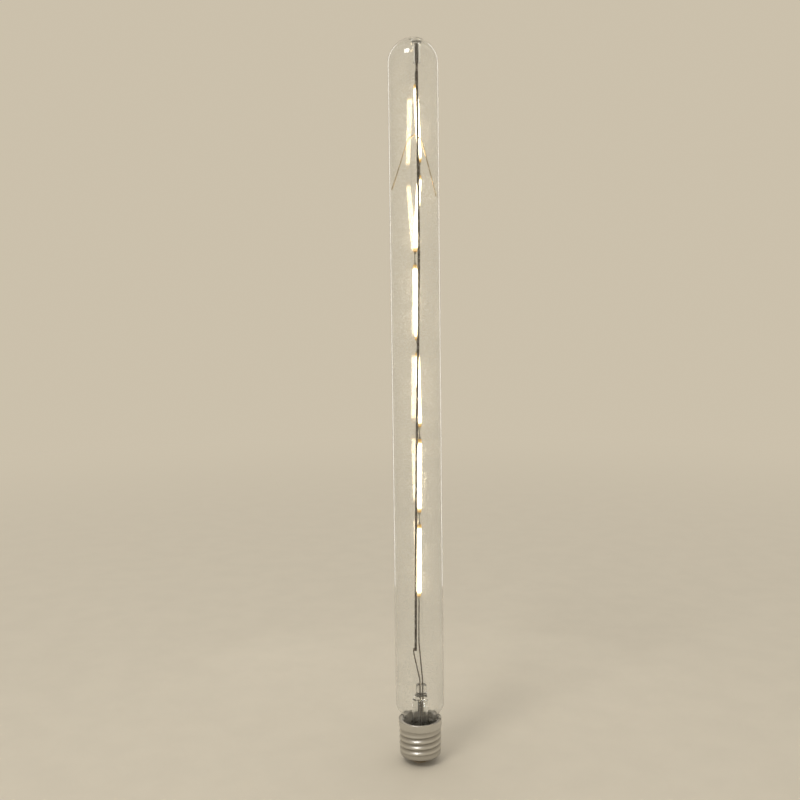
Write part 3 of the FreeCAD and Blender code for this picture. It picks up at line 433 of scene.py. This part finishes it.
# %% [markdown]
# The tube is drawn glass with a wall of 0.8 mm. Its foot is necked in to fit the cap, its top is a
# half ball, and inside the top a small nipple of glass holds the end of the support rod. Walking
# along the skin goes down the outside, round the foot's edge, up the inside and down the nipple.
# The root blend says how soon the nipple's rings leave the curve of the dome.

# %% Glass tube
foot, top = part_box("glass_tube")
TUBE_RADIUS = min(-foot.x, -foot.y, top.x, top.y)
WALL = 0.8 * MM
CAP_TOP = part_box("cap_shell")[1].z
NECK_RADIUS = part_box("glass_stem")[1].x
SHOULDER_START = CAP_TOP + 0.8 * MM
SHOULDER_HEIGHT = 9 * MM
NIPPLE_MIDDLE = (2.2 * MM, -1.2 * MM)
NIPPLE_RADIUS = 2.15 * MM
NIPPLE_ROOT = 5.4 * MM
NIPPLE_STRAIGHT_TOP = top.z - 6.8 * MM
NIPPLE_BOTTOM = top.z - 15.3 * MM
ROOT_BLEND = 1.6
STEPS = 24
TUBE_ROWS = 36
EDGE_ROWS = 6

dome_middle = top.z - TUBE_RADIUS
bore = TUBE_RADIUS - WALL


def shares(count):
    """Evenly spaced numbers above 0, up to 1."""
    return [(index + 1) / count for index in range(count)]


def tube_side(inset):
    """Rings down one side of the tube from the dome's foot to the neck's end."""
    rings = []
    shoulder_top = SHOULDER_START + SHOULDER_HEIGHT
    for share in shares(TUBE_ROWS):
        height = dome_middle + (shoulder_top - dome_middle) * share
        rings.append(ring((0, 0), TUBE_RADIUS - inset, TUBE_RADIUS - inset, height))
    for share in shares(STEPS):
        radius = TUBE_RADIUS - (TUBE_RADIUS - NECK_RADIUS) * (1 - math.cos(math.pi * share)) / 2 - inset
        rings.append(ring((0, 0), radius, radius, shoulder_top - SHOULDER_HEIGHT * share))
    for share in shares(3):
        height = SHOULDER_START + (foot.z + WALL / 2 - SHOULDER_START) * share
        rings.append(ring((0, 0), NECK_RADIUS - inset, NECK_RADIUS - inset, height))
    return rings


def inner_dome(x, y):
    """Height of the dome's inside over a point."""
    return dome_middle + math.sqrt(max(bore ** 2 - x ** 2 - y ** 2, 0.0))


outside = [ring((0, 0), TUBE_RADIUS * math.sin(share * math.pi / 2),
                TUBE_RADIUS * math.sin(share * math.pi / 2),
                dome_middle + TUBE_RADIUS * math.cos(share * math.pi / 2)) for share in shares(STEPS)]
outside += tube_side(0.0)
edge = []
for share in shares(EDGE_ROWS):
    radius = NECK_RADIUS - WALL / 2 + WALL / 2 * math.cos(math.pi * share)
    edge.append(ring((0, 0), radius, radius, foot.z + WALL / 2 - WALL / 2 * math.sin(math.pi * share)))
inside = tube_side(WALL)[-2::-1] + [ring((0, 0), bore, bore, dome_middle)]

for share in shares(STEPS):
    angle = share * math.acos(NIPPLE_ROOT / bore)
    radius = bore * math.cos(angle)
    shift = (bore - radius) / (bore - NIPPLE_ROOT)
    middle = (NIPPLE_MIDDLE[0] * shift, NIPPLE_MIDDLE[1] * shift)
    inside.append(ring(middle, radius, radius, inner_dome))

root_height = inner_dome(*NIPPLE_MIDDLE)
for share in shares(STEPS // 2):
    radius = NIPPLE_ROOT - (NIPPLE_ROOT - NIPPLE_RADIUS) * math.sin(share * math.pi / 2)
    level = NIPPLE_STRAIGHT_TOP + (root_height - NIPPLE_STRAIGHT_TOP) * math.cos(share * math.pi / 2)
    weight = min(1.0, ROOT_BLEND * share)
    weight = weight * weight * (3 - 2 * weight)
    inside.append(ring(NIPPLE_MIDDLE, radius, radius,
                       lambda x, y, w=weight, z=level: inner_dome(x, y) * (1 - w) + z * w))
for share in shares(4):
    height = NIPPLE_STRAIGHT_TOP + (NIPPLE_BOTTOM + NIPPLE_RADIUS / 2 - NIPPLE_STRAIGHT_TOP) * share
    inside.append(ring(NIPPLE_MIDDLE, NIPPLE_RADIUS, NIPPLE_RADIUS, height))
for share in shares(6):
    radius = NIPPLE_RADIUS / 2 * (1 + math.cos(share * math.pi / 2))
    height = NIPPLE_BOTTOM + NIPPLE_RADIUS / 2 * (1 - math.sin(share * math.pi / 2))
    inside.append(ring(NIPPLE_MIDDLE, radius, radius, height))

tube = skin("blown_tube", [(outside + edge + inside, (0, 0, top.z), (*NIPPLE_MIDDLE, NIPPLE_BOTTOM),
                            len(outside) + len(edge) - 1)], outer_glass, inner_glass)
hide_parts("glass_tube")
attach(tube, "root")

# %% [markdown]
# The stem closes the tube's foot. It starts as a flare, goes on as a tube, and its end was pinched
# flat while hot, so that the glass grips the two lead-in wires. The same skin makes it, with rings
# that go from round to flat. The exhaust tube, through which the lamp was filled, hangs inside it.

# %% Glass stem
stem_low, stem_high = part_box("glass_stem")
STEM_RADIUS = 5.0 * MM
STEM_WALL = 0.9 * MM
RIM = 1.0 * MM
FLARE_HEIGHT = 9 * MM
PINCH_BOTTOM = stem_high.z - 7.5 * MM
PINCH_MIDDLE = (0.9 * MM, -0.6 * MM)
PINCH_HALF_WIDTH = 3.2 * MM
PINCH_HALF_DEPTH = 2.1 * MM
PINCH_SQUARE = 3.4
FLATTENS_FROM = PINCH_BOTTOM - 3.5 * MM
FLAT_AT = PINCH_BOTTOM + 2.2 * MM
EXHAUST_MIDDLE = (0.0, 2.45 * MM)
EXHAUST_RADIUS = 1.4 * MM
EXHAUST_BOTTOM = stem_low.z + 3 * MM
CEILING_RISE = 1.6 * MM
PINCH_END = 1.2 * MM
PINCH_END_SHRINK = 0.45


def flare(inset, low):
    """Rings up one side of the flare, from the rim to the stem's straight tube."""
    rings = []
    wide = stem_high.x - WALL
    for share in shares(STEPS // 2):
        radius = wide - (wide - STEM_RADIUS) * math.sin(share * math.pi / 2) - inset
        level = low + (stem_low.z + FLARE_HEIGHT - low) * (1 - math.cos(share * math.pi / 2))
        rings.append(ring((0, 0), radius, radius, level))
    return rings


def pinched(share):
    """A ring on the way from the round tube, at 0, to the flat pinch, at 1."""
    ease = share * share * (3 - 2 * share)
    middle = (PINCH_MIDDLE[0] * ease, PINCH_MIDDLE[1] * ease)
    half_x = STEM_RADIUS + (PINCH_HALF_WIDTH - STEM_RADIUS) * ease
    half_y = STEM_RADIUS + (PINCH_HALF_DEPTH - STEM_RADIUS) * ease
    height = FLATTENS_FROM + (FLAT_AT - FLATTENS_FROM) * share
    return ring(middle, half_x, half_y, height, 2.0 + (PINCH_SQUARE - 2.0) * ease)


hollow = STEM_RADIUS - STEM_WALL
ceiling = FLATTENS_FROM + CEILING_RISE
rim_edge = stem_low.z + RIM * 0.98
stem_rings = []
for share in shares(6):
    angle = share * math.pi / 2
    stem_rings.append(ring((0, 0), hollow * math.sin(angle), hollow * math.sin(angle),
                           FLATTENS_FROM + CEILING_RISE * math.cos(angle)))
stem_rings += flare(STEM_WALL, stem_low.z)[::-1]
stem_rings.append(ring((0, 0), stem_high.x, stem_high.x, stem_low.z))
stem_rings.append(ring((0, 0), stem_high.x, stem_high.x, rim_edge))
stem_rings.append(ring((0, 0), stem_high.x - WALL, stem_high.x - WALL, rim_edge))
stem_rings += flare(0.0, stem_low.z + RIM)
stem_rings += [pinched(share) for share in [0.0] + shares(STEPS // 2)]
for share in shares(6):
    angle = share * math.pi / 2
    shrink = 1.0 - PINCH_END_SHRINK * (1 - math.cos(angle))
    height = stem_high.z - PINCH_END * (1 - math.sin(angle))
    stem_rings.append(ring(PINCH_MIDDLE, PINCH_HALF_WIDTH * shrink, PINCH_HALF_DEPTH * shrink, height,
                           PINCH_SQUARE))

exhaust = []
for share in shares(5):
    angle = share * math.pi / 2
    exhaust.append(ring(EXHAUST_MIDDLE, EXHAUST_RADIUS * math.sin(angle), EXHAUST_RADIUS * math.sin(angle),
                        EXHAUST_BOTTOM + EXHAUST_RADIUS * (1 - math.cos(angle))))
exhaust.append(ring(EXHAUST_MIDDLE, EXHAUST_RADIUS, EXHAUST_RADIUS, ceiling))

stem = skin("pinched_stem", [
    (stem_rings, (0, 0, ceiling), (*PINCH_MIDDLE, stem_high.z), None),
    (exhaust, (*EXHAUST_MIDDLE, EXHAUST_BOTTOM), (*EXHAUST_MIDDLE, ceiling), None),
], fused_glass)
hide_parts("glass_stem")
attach(stem, "root")

# %% [markdown]
# Six light bars are the same bar at six places, so one Geometry Nodes tree makes them all. It
# starts from a plain cylinder and moves its points by a rule: rows crowd towards the ends, the
# round section becomes a flat oval, and the last bit of each end is rounded off. The tree also
# stores how far each point is from the nearer end, which the coating's material reads. It stores
# that before it moves the points, because the formula reads the plain cylinder's positions.
# CHAIN_ACROSS lists, from the top, how many millimetres each joint of the chain stands to the right
# of the axis. The width and depth of all bars come from the box of filament 5, which leans least.
# It still leans a little, so its box is 0.6 mm wider than its coating, and so is every bar here.

# %% Geometry Nodes: common steps
def new_nodes(name, inputs):
    """A Geometry Nodes tree with named inputs; returns it, its Tree and its inputs as values."""
    group = bpy.data.node_groups.new(name, "GeometryNodeTree")
    for socket, kind in inputs.items():
        group.interface.new_socket(socket, in_out="INPUT", socket_type="NodeSocket" + kind)
    group.interface.new_socket("Geometry", in_out="OUTPUT", socket_type="NodeSocketGeometry")
    tree = Tree(group)
    first = tree.add("NodeGroupInput")
    return group, tree, {socket: first.output(socket) for socket in inputs}


def end_tree(tree, geometry, material):
    """Close a tree: real geometry, smooth, with its material."""
    real = tree.add("GeometryNodeRealizeInstances", {"Geometry": geometry})
    smooth = tree.add("GeometryNodeSetShadeSmooth", {"Geometry": real})
    painted = tree.add("GeometryNodeSetMaterial", {"Geometry": smooth, "Material": material})
    group_output = tree.tree.nodes.new("NodeGroupOutput")
    tree.feed(group_output.inputs["Geometry"], painted)


def grown(name, group, inputs, base=None):
    """Run a tree once and keep its result as a piece with a plain mesh."""
    carrier = bpy.data.objects.new(name + "_carrier", base or bpy.data.meshes.new(name))
    bpy.context.scene.collection.objects.link(carrier)
    modifier = carrier.modifiers.new("grow", "NODES")
    modifier.node_group = group
    for item in group.interface.items_tree:
        if item.in_out == "INPUT" and item.name in inputs:
            modifier[item.identifier] = inputs[item.name]
    graph = bpy.context.evaluated_depsgraph_get()
    mesh = bpy.data.meshes.new_from_object(carrier.evaluated_get(graph), preserve_all_data_layers=True,
                                           depsgraph=graph)
    carrier.modifiers.remove(modifier)
    bpy.data.objects.remove(carrier)
    mesh.name = name
    print(f"{name}: {len(mesh.polygons)} faces")
    return new_piece(name, mesh)


# %% Light bars
BAR_ROWS = 64
BAR_SIDES = 28


def light_bar_nodes():
    """A flat oval bar with rounded ends, upright and slightly leaning."""
    group, tree, given = new_nodes("light_bar", {
        "Length": "Float", "Width": "Float", "Depth": "Float", "Rounding": "Float", "Lean": "Float",
        "Middle": "Vector", "Material": "Material",
    })
    rows = {"Vertices": BAR_SIDES, "Side Segments": BAR_ROWS, "Radius": 1.0, "Depth": 2.0}
    rod = tree.add("GeometryNodeMeshCylinder", rows)
    spot = tree.add("ShaderNodeSeparateXYZ", {"Vector": tree.add("GeometryNodeInputPosition")})
    x, y, z = spot, spot.output("Y"), spot.output("Z")
    half = given["Length"] / 2
    along = half * tree.calculate("SINE", z * (math.pi / 2))
    from_end = half - tree.calculate("ABSOLUTE", along)
    over = tree.calculate("MAXIMUM", given["Rounding"] - from_end, 0.0)
    shrink = given["Rounding"] - (given["Rounding"] * given["Rounding"] - over * over) ** 0.5
    thick = given["Depth"] / 2
    flat = (given["Width"] / 2 - thick) * tree.calculate("SIGN", x)
    across = flat + x * (thick - shrink) + along * given["Lean"]
    place = tree.add("ShaderNodeCombineXYZ", {"X": across, "Y": y * (thick - shrink), "Z": along})
    place = tree.add("ShaderNodeVectorMath", {0: place, 1: given["Middle"]}, operation="ADD")
    noted = tree.add("GeometryNodeStoreNamedAttribute",
                     {"Geometry": rod, "Name": "from_end", "Value": from_end / MM})
    shaped = tree.add("GeometryNodeSetPosition", {"Geometry": noted, "Position": place})
    end_tree(tree, shaped, given["Material"])
    return group


FILAMENTS = 6
CHAIN_ACROSS = [1.4, 3.4, -0.1, 0.7, 1.6, 0.9, 0.1]
PITCH = 52.4 * MM
CHAIN_BACK = 1.8 * MM
BAR_LENGTH = 45 * MM
bar_nodes = light_bar_nodes()
bar_low, bar_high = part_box("filament_5")
for number in range(1, FILAMENTS + 1):
    low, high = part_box(f"filament_{number}")
    upper, lower = CHAIN_ACROSS[number - 1] * MM, CHAIN_ACROSS[number] * MM
    bar = grown(f"light_bar_{number}", bar_nodes, {
        "Length": high.z - low.z, "Width": bar_high.x - bar_low.x, "Depth": bar_high.y - bar_low.y,
        "Rounding": 0.6 * MM, "Lean": (upper - lower) / PITCH,
        "Middle": ((upper + lower) / 2, CHAIN_BACK, (low.z + high.z) / 2), "Material": filament_coat,
    })
    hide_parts(f"filament_{number}")
    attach(bar, "root")

# %% [markdown]
# Each bar ends in a pressed metal pin: a ferrule that grips the bar and a flat tail, spot-welded to
# the next bar's tail. The pin is modelled once, with soft edges and two pressed ridges, and a tree
# sets it on the twelve bar ends. Every end is one point that carries the turn of its pin.

# %% Pins
FERRULE = (1.3 * MM, 0.9 * MM, 1.5 * MM)
TAIL = (0.6 * MM, 0.25 * MM, 3.7 * MM)
RIDGES_AT = (0.3, 0.65)
RIDGE_STANDS_OUT = 0.12 * MM
RIDGE_HEIGHT = 0.22 * MM
TAIL_SINKS_IN = 0.2 * MM


def add_block(shape, middle, size, soft):
    """Add a block with softened edges to a bmesh."""
    made = bmesh.ops.create_cube(shape, size=1.0, matrix=Matrix.LocRotScale(middle, None, size))
    edges = list({edge for vert in made["verts"] for edge in vert.link_edges})
    bmesh.ops.bevel(shape, geom=edges, offset=soft, segments=2, profile=0.5, affect="EDGES")


def pin_mesh():
    """A pin that points up from the end of a bar at the origin."""
    shape = bmesh.new()
    width, depth, height = FERRULE
    add_block(shape, (0, 0, height / 2), (width, depth, height), 0.12 * MM)
    for share in RIDGES_AT:
        ridge = (width + RIDGE_STANDS_OUT, depth + RIDGE_STANDS_OUT, RIDGE_HEIGHT)
        add_block(shape, (0, 0, height * share), ridge, 0.05 * MM)
    middle = (0, TAIL[1] / 2, height + TAIL[2] / 2 - TAIL_SINKS_IN / 2)
    add_block(shape, middle, (TAIL[0], TAIL[1] * 0.98, TAIL[2] + TAIL_SINKS_IN), 0.04 * MM)
    mesh = bpy.data.meshes.new("pin")
    shape.to_mesh(mesh)
    shape.free()
    return mesh


def set_on_points_nodes():
    """An object set on every point of a mesh, with that point's own turn and size."""
    group, tree, given = new_nodes("set_on_points", {
        "Points": "Geometry", "Pattern": "Object", "Ripple": "Float", "Material": "Material",
    })
    pattern = tree.add("GeometryNodeObjectInfo", {"Object": given["Pattern"]}).output("Geometry")
    turn = tree.add("GeometryNodeInputNamedAttribute", {"Name": "turn"}, data_type="FLOAT_VECTOR")
    size = tree.add("GeometryNodeInputNamedAttribute", {"Name": "size"}, data_type="FLOAT_VECTOR")
    sockets = {"Points": given["Points"], "Instance": pattern, "Rotation": turn, "Scale": size}
    placed = tree.add("GeometryNodeInstanceOnPoints", sockets)
    real = tree.add("GeometryNodeRealizeInstances", {"Geometry": placed})
    noise = tree.add("ShaderNodeTexNoise", {"Scale": 1300.0, "Detail": 1.0}).output("Color")
    push = tree.add("ShaderNodeVectorMath", {0: noise, 1: (0.5, 0.5, 0.5)}, operation="SUBTRACT")
    push = tree.add("ShaderNodeVectorMath", {0: push, "Scale": given["Ripple"]}, operation="SCALE")
    end_tree(tree, tree.add("GeometryNodeSetPosition", {"Geometry": real, "Offset": push}),
             given["Material"])
    return group


def set_on_points(name, pattern, points, ripple, material):
    """A piece from a pattern mesh and a list of (place, turn, size)."""
    base = bpy.data.meshes.new(name)
    base.from_pydata([place for place, turn, size in points], [], [])
    for index, attribute in ((1, "turn"), (2, "size")):
        values = base.attributes.new(attribute, "FLOAT_VECTOR", "POINT")
        for item, point in zip(values.data, points):
            item.vector = point[index]
    helper = bpy.data.objects.new(name + "_pattern", pattern)
    inputs = {"Pattern": helper, "Ripple": ripple, "Material": material}
    piece = grown(name, set_on_points_tree, inputs, base)
    bpy.data.objects.remove(helper)
    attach(piece, "root")
    return piece


set_on_points_tree = set_on_points_nodes()
ends = []
for number in range(1, FILAMENTS + 1):
    low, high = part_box(f"filament_{number}")
    upper, lower = CHAIN_ACROSS[number - 1] * MM, CHAIN_ACROSS[number] * MM
    lean = math.atan((upper - lower) / PITCH)
    for side in (1, -1):
        reach = side * BAR_LENGTH / 2
        place = ((upper + lower) / 2 + reach * math.sin(lean), CHAIN_BACK,
                 (low.z + high.z) / 2 + reach * math.cos(lean))
        tip_over = Matrix.Rotation(0.0 if side > 0 else math.pi, 3, "X")
        turn = (Matrix.Rotation(lean, 3, "Y") @ tip_over).to_euler()
        ends.append((place, tuple(turn), (1.0, 1.0, 1.0)))
pins = set_on_points("filament_pins", pin_mesh(), ends, 0.0, pin_metal)
for number in range(1, FILAMENTS + 1):
    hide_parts(f"filament_{number}_upper_pin", f"filament_{number}_lower_pin")

# %% [markdown]
# Spot welds hold the chain, the links, the rod, the spring and the leads together. A weld is a
# small squashed bead, a little uneven. The same tree sets a ball on every weld, each with its own
# size, and pushes its points about by noise.

# %% Weld beads
ROD_FRONT = -1.2 * MM
ROD_RADIUS = 0.75 * MM
BEAD_RIPPLE = 0.16 * MM
TAIL_BEAD = (0.24 * MM, 0.32 * MM, 0.26 * MM)
TAIL_BEAD_OFFSET = 0.8 * MM
LINK_BEAD = (0.36 * MM, 0.36 * MM, 0.5 * MM)
ROD_TOP_BEAD = (0.62 * MM, 0.45 * MM, 0.62 * MM)
ROD_FOOT_BEAD = (0.72 * MM, 0.62 * MM, 0.95 * MM)
LEAD_BEAD = (0.45 * MM, 0.5 * MM, 0.9 * MM)
SPRING_BEAD = (0.5 * MM, 0.4 * MM, 0.5 * MM)
ROD_TOP_ACROSS = 2.0 * MM
SPRING_WELD_ACROSS = 2.3 * MM
LEAD_WELD_ACROSS = -0.2 * MM


def middle_of_overlap(first, second):
    """The middle of the space that two CAD nodes share."""
    low = [max(a, b) for a, b in zip(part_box(first)[0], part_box(second)[0])]
    high = [min(a, b) for a, b in zip(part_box(first)[1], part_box(second)[1])]
    return Vector([(a + b) / 2 for a, b in zip(low, high)])


beads = []
for number in range(1, FILAMENTS):
    joint = middle_of_overlap(f"filament_{number}_lower_pin", f"filament_{number + 1}_upper_pin")
    for side in (-1, 1):
        place = (CHAIN_ACROSS[number] * MM, CHAIN_BACK, joint.z + side * TAIL_BEAD_OFFSET)
        beads.append((place, (0, 0, 0), TAIL_BEAD))
top_joint = middle_of_overlap("top_link", "filament_1_upper_pin")
bottom_joint = middle_of_overlap("bottom_link", "filament_6_lower_pin")
for across, joint in ((CHAIN_ACROSS[0] * MM, top_joint), (CHAIN_ACROSS[-1] * MM, bottom_joint)):
    place = (across, CHAIN_BACK - 0.1 * MM, joint.z)
    beads.append((place, (0, 0, 0), LINK_BEAD))
link_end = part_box("top_link")[1].z - 0.35 * MM
beads.append(((ROD_TOP_ACROSS, ROD_FRONT + ROD_RADIUS, link_end), (0, 0, 0), ROD_TOP_BEAD))
rod_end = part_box("support_rod")[0]
lead_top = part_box("left_lead_wire")[1].z
beads.append(((rod_end.x, ROD_FRONT, (rod_end.z + lead_top) / 2), (0, 0.1, 0), ROD_FOOT_BEAD))
lead = middle_of_overlap("bottom_link", "right_lead_wire")
beads.append(((LEAD_WELD_ACROSS, lead.y, lead.z), (0, 0, 0), LEAD_BEAD))
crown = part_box("centring_spring")[1].z
beads.append(((SPRING_WELD_ACROSS, ROD_FRONT + ROD_RADIUS, crown - 0.4 * MM), (0, 0, 0), SPRING_BEAD))

ball = bmesh.new()
bmesh.ops.create_icosphere(ball, subdivisions=3, radius=1.0)
ball_mesh = bpy.data.meshes.new("bead")
ball.to_mesh(ball_mesh)
ball.free()
welds = set_on_points("weld_beads", ball_mesh, beads, BEAD_RIPPLE, nickel_wire)

# %% [markdown]
# The cap's shell is one sheet. Its section is a line that runs from the lip round the contact,
# out to the foot, up the thread and over the step to the collar; a copy of the line, one sheet
# thickness further in, gives the inside. The skin turns it round the axis, and then a tree rolls
# the thread into it: a wave in the radius that climbs one pitch in each turn and fades out at both
# ends.

# %% Cap shell
SHEET = 0.35 * MM
THREAD_PITCH = 3.629 * MM
THREAD_DEPTH = 0.945 * MM
THREAD_MEAN = 12.6025 * MM
THREAD_FADE = 2.7 * MM
THREAD_ROWS = 90
LIP_RADIUS = 10.53 * MM
STEP_HEIGHT = 1.3 * MM
FOOT_ROUNDING = 0.9 * MM
LIP_FLAT = 0.5 * MM
lip_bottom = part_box("cap_shell")[0].z
COLLAR = min(-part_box("cap_shell")[0].x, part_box("cap_shell")[1].x)
thread_bottom = lip_bottom + 1.6 * MM
thread_top = CAP_TOP - 5.4 * MM


def rolled_thread_nodes():
    """Roll a thread into a turned sheet."""
    group, tree, given = new_nodes("rolled_thread", {
        "Sheet": "Geometry", "Bottom": "Float", "Top": "Float", "Pitch": "Float", "Depth": "Float",
        "Fade": "Float", "Material": "Material",
    })
    spot = tree.add("ShaderNodeSeparateXYZ", {"Vector": tree.add("GeometryNodeInputPosition")})
    x, y, z = spot, spot.output("Y"), spot.output("Z")
    radius = (x * x + y * y) ** 0.5
    turns = (z - given["Bottom"]) / given["Pitch"] - tree.calculate("ARCTAN2", y, x) / (2 * math.pi)
    wave = tree.calculate("COSINE", turns * (2 * math.pi)) * given["Depth"] / 2
    strength = tree.fade(z, given["Bottom"], given["Bottom"] + given["Fade"])
    strength = strength * (1 - tree.fade(z, given["Top"] - given["Fade"], given["Top"]))
    stretch = 1 + wave * strength / radius
    place = tree.add("ShaderNodeCombineXYZ", {"X": x * stretch, "Y": y * stretch, "Z": z})
    rolled = tree.add("GeometryNodeSetPosition", {"Geometry": given["Sheet"], "Position": place})
    end_tree(tree, rolled, given["Material"])
    return group


def sheet_section():
    """Points (radius, height) of the sheet's outer side, from the lip to the rim."""
    drawn_in = THREAD_MEAN - FOOT_ROUNDING
    points = [(LIP_RADIUS, lip_bottom), (drawn_in - LIP_FLAT, lip_bottom)]
    for share in [0.0] + shares(8):
        angle = share * math.pi / 2
        points.append((drawn_in + (THREAD_MEAN - drawn_in) * math.sin(angle),
                       lip_bottom + (thread_bottom - 0.3 * MM - lip_bottom) * (1 - math.cos(angle))))
    for share in [0.0] + shares(THREAD_ROWS):
        points.append((THREAD_MEAN, thread_bottom + (thread_top - thread_bottom) * share))
    for share in shares(8):
        ease = share * share * (3 - 2 * share)
        points.append((THREAD_MEAN + (COLLAR - THREAD_MEAN) * ease, thread_top + STEP_HEIGHT * share))
    points += [(COLLAR, thread_top + 2 * MM), (COLLAR, CAP_TOP - 0.3 * MM), (COLLAR - 0.05 * MM, CAP_TOP)]
    return points


def moved_in(points, distance):
    """The same line, moved to its left by a distance, which is the inside of the sheet."""
    moved = []
    for index, (radius, height) in enumerate(points):
        before = points[max(index - 1, 0)]
        after = points[min(index + 1, len(points) - 1)]
        run, rise = after[0] - before[0], after[1] - before[1]
        length = math.hypot(run, rise)
        moved.append((radius - rise / length * distance, height + run / length * distance))
    return moved


outer_side = sheet_section()
inner_side = moved_in(outer_side, SHEET)
section = outer_side + [(radius, min(height, CAP_TOP)) for radius, height in inner_side[::-1]]
blank = skin("shell_blank", [([ring((0, 0), radius, radius, height) for radius, height in section],
                              None, None, None)])
cap_metal = plated_cap(THREAD_MEAN + THREAD_DEPTH / 2, THREAD_MEAN - THREAD_DEPTH / 2)
shell = grown("rolled_cap_shell", rolled_thread_nodes(), {
    "Bottom": thread_bottom, "Top": thread_top, "Pitch": THREAD_PITCH, "Depth": THREAD_DEPTH,
    "Fade": THREAD_FADE, "Material": cap_metal,
}, blank.data)
bpy.data.objects.remove(blank)
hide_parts("cap_shell")
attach(shell, "root")

# %% [markdown]
# The other CAD nodes already have the right shape, so they stay and only get a better finish.

# %% Finishes for the CAD nodes that stay
FINISHES = {
    "support_rod": rod_metal, "centring_spring": spring_metal, "top_link": nickel_wire,
    "bottom_link": nickel_wire, "left_lead_wire": nickel_wire, "right_lead_wire": nickel_wire,
    "cap_cement": cement, "cap_insulator": black_glass, "centre_contact": contact_brass,
    "contact_solder": solder, "rim_solder": solder, "driver_board": board,
    "bridge_rectifier": black_resin, "driver_chip": black_resin,
    "smoothing_capacitor": capacitor_sleeve, "fuse_resistor": resistor_coat,
    "contact_wire": tinned_wire, "shell_wire": tinned_wire,
}
for node, finish in FINISHES.items():
    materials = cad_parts[node].data.materials
    materials.clear()
    materials.append(finish)
print(f"{len(FINISHES)} CAD nodes dressed")

# %% [markdown]
# A wide pale floor keeps the lamp's shadow. Far out it fades into the colour of the world behind
# it, so no horizon cuts the picture. The world shows that same colour to the camera and in glass
# and metal, and lights everything else evenly in white.

# %% Floor and world
PALE = (0.60, 0.53, 0.41)
FLOOR_REACH = 6.0
FADE_FROM = 0.15
FADE_TO = 1.6
WORLD_LIGHT = 0.8
FLOOR_SHADE = 0.97
FLOOR_GRAINS_PER_METRE = 35.0


def pale_floor():
    """A matt floor that turns into the plain background colour with distance."""
    material, tree, shader = new_finish("pale_floor", {"Roughness": 0.8, "Specular IOR Level": 0.2})
    tone = tree.fade(grain(tree, FLOOR_GRAINS_PER_METRE, detail=6.0), 0.3, 0.7)
    darker = colour(*(FLOOR_SHADE * channel for channel in PALE))
    tree.feed(shader.inputs["Base Color"], tree.between(tone, darker, colour(*PALE)))
    place = tree.add("ShaderNodeTexCoord").output("Object")
    distance = tree.add("ShaderNodeVectorMath", {0: place}, operation="LENGTH").output("Value")
    far = tree.fade(distance, FADE_FROM, FADE_TO)
    glow = tree.add("ShaderNodeEmission", {"Color": colour(*PALE)})
    lit = Value(tree, shader.outputs["BSDF"])
    mixed = tree.add("ShaderNodeMixShader", {0: far, 1: lit, 2: glow})
    tree.feed(material.node_tree.nodes["Material Output"].inputs["Surface"], mixed)
    return material


floor_mesh = bpy.data.meshes.new("floor")
corners = [(-FLOOR_REACH, -FLOOR_REACH, 0), (FLOOR_REACH, -FLOOR_REACH, 0),
           (FLOOR_REACH, FLOOR_REACH, 0), (-FLOOR_REACH, FLOOR_REACH, 0)]
floor_mesh.from_pydata(corners, [], [(0, 1, 2, 3)])
floor = new_piece("floor", floor_mesh, pale_floor())

world = bpy.data.worlds.new("studio")
bpy.context.scene.world = world
world.use_nodes = True
studio = Tree(world.node_tree)
even = Value(studio, world.node_tree.nodes["Background"].outputs[0])
world.node_tree.nodes["Background"].inputs["Strength"].default_value = WORLD_LIGHT
world.node_tree.nodes["Background"].inputs["Color"].default_value = colour(1.0, 1.0, 1.0)
seen = studio.add("ShaderNodeBackground", {"Color": colour(*PALE)})
path = studio.add("ShaderNodeLightPath")
shown = studio.calculate("MAXIMUM", path, path.output("Is Glossy Ray"))
shown = studio.calculate("MAXIMUM", shown, path.output("Is Transmission Ray"))
studio.feed(world.node_tree.nodes["World Output"].inputs["Surface"],
            studio.add("ShaderNodeMixShader", {0: shown, 1: even, 2: seen}))

# %% [markdown]
# Two tall, narrow and weak lamps stand close behind the tube, left and right, and draw thin faint
# lines down the edges of the glass. A soft one high up in front gives the cap its shape. It stands
# so high that the upright glass can't mirror it into the camera; only the dome can.

# %% Lamps
EDGE_LAMP_ASIDE = 0.14
EDGE_LAMP_BEHIND = 0.23
EDGE_LAMP_HEIGHT = 0.345
EDGE_LAMP_SIZE = (0.028, 0.62)
EDGE_LAMP_WATTS = 0.045
FRONT_LAMP_PLACE = (-0.6, -0.9, 1.5)
FRONT_LAMP_TARGET = (0.0, 0.0, 0.22)
FRONT_LAMP_SIZE = (0.5, 0.5)
FRONT_LAMP_WATTS = 8.0


def soft_lamp(name, place, target, size, watts):
    """A rectangular lamp at a place that shines at a target."""
    data = bpy.data.lights.new(name, "AREA")
    data.shape = "RECTANGLE"
    data.size, data.size_y = size
    data.energy = watts
    lamp = bpy.data.objects.new(name, data)
    lamp.location = place
    lamp.rotation_euler = (Vector(target) - Vector(place)).to_track_quat("-Z", "Y").to_euler()
    lamp.visible_camera = False
    bpy.context.scene.collection.objects.link(lamp)


for name, side in (("left_lamp", -1), ("right_lamp", 1)):
    soft_lamp(name, (side * EDGE_LAMP_ASIDE, EDGE_LAMP_BEHIND, EDGE_LAMP_HEIGHT),
              (0.0, 0.0, EDGE_LAMP_HEIGHT), EDGE_LAMP_SIZE, EDGE_LAMP_WATTS)
soft_lamp("front_lamp", FRONT_LAMP_PLACE, FRONT_LAMP_TARGET, FRONT_LAMP_SIZE, FRONT_LAMP_WATTS)
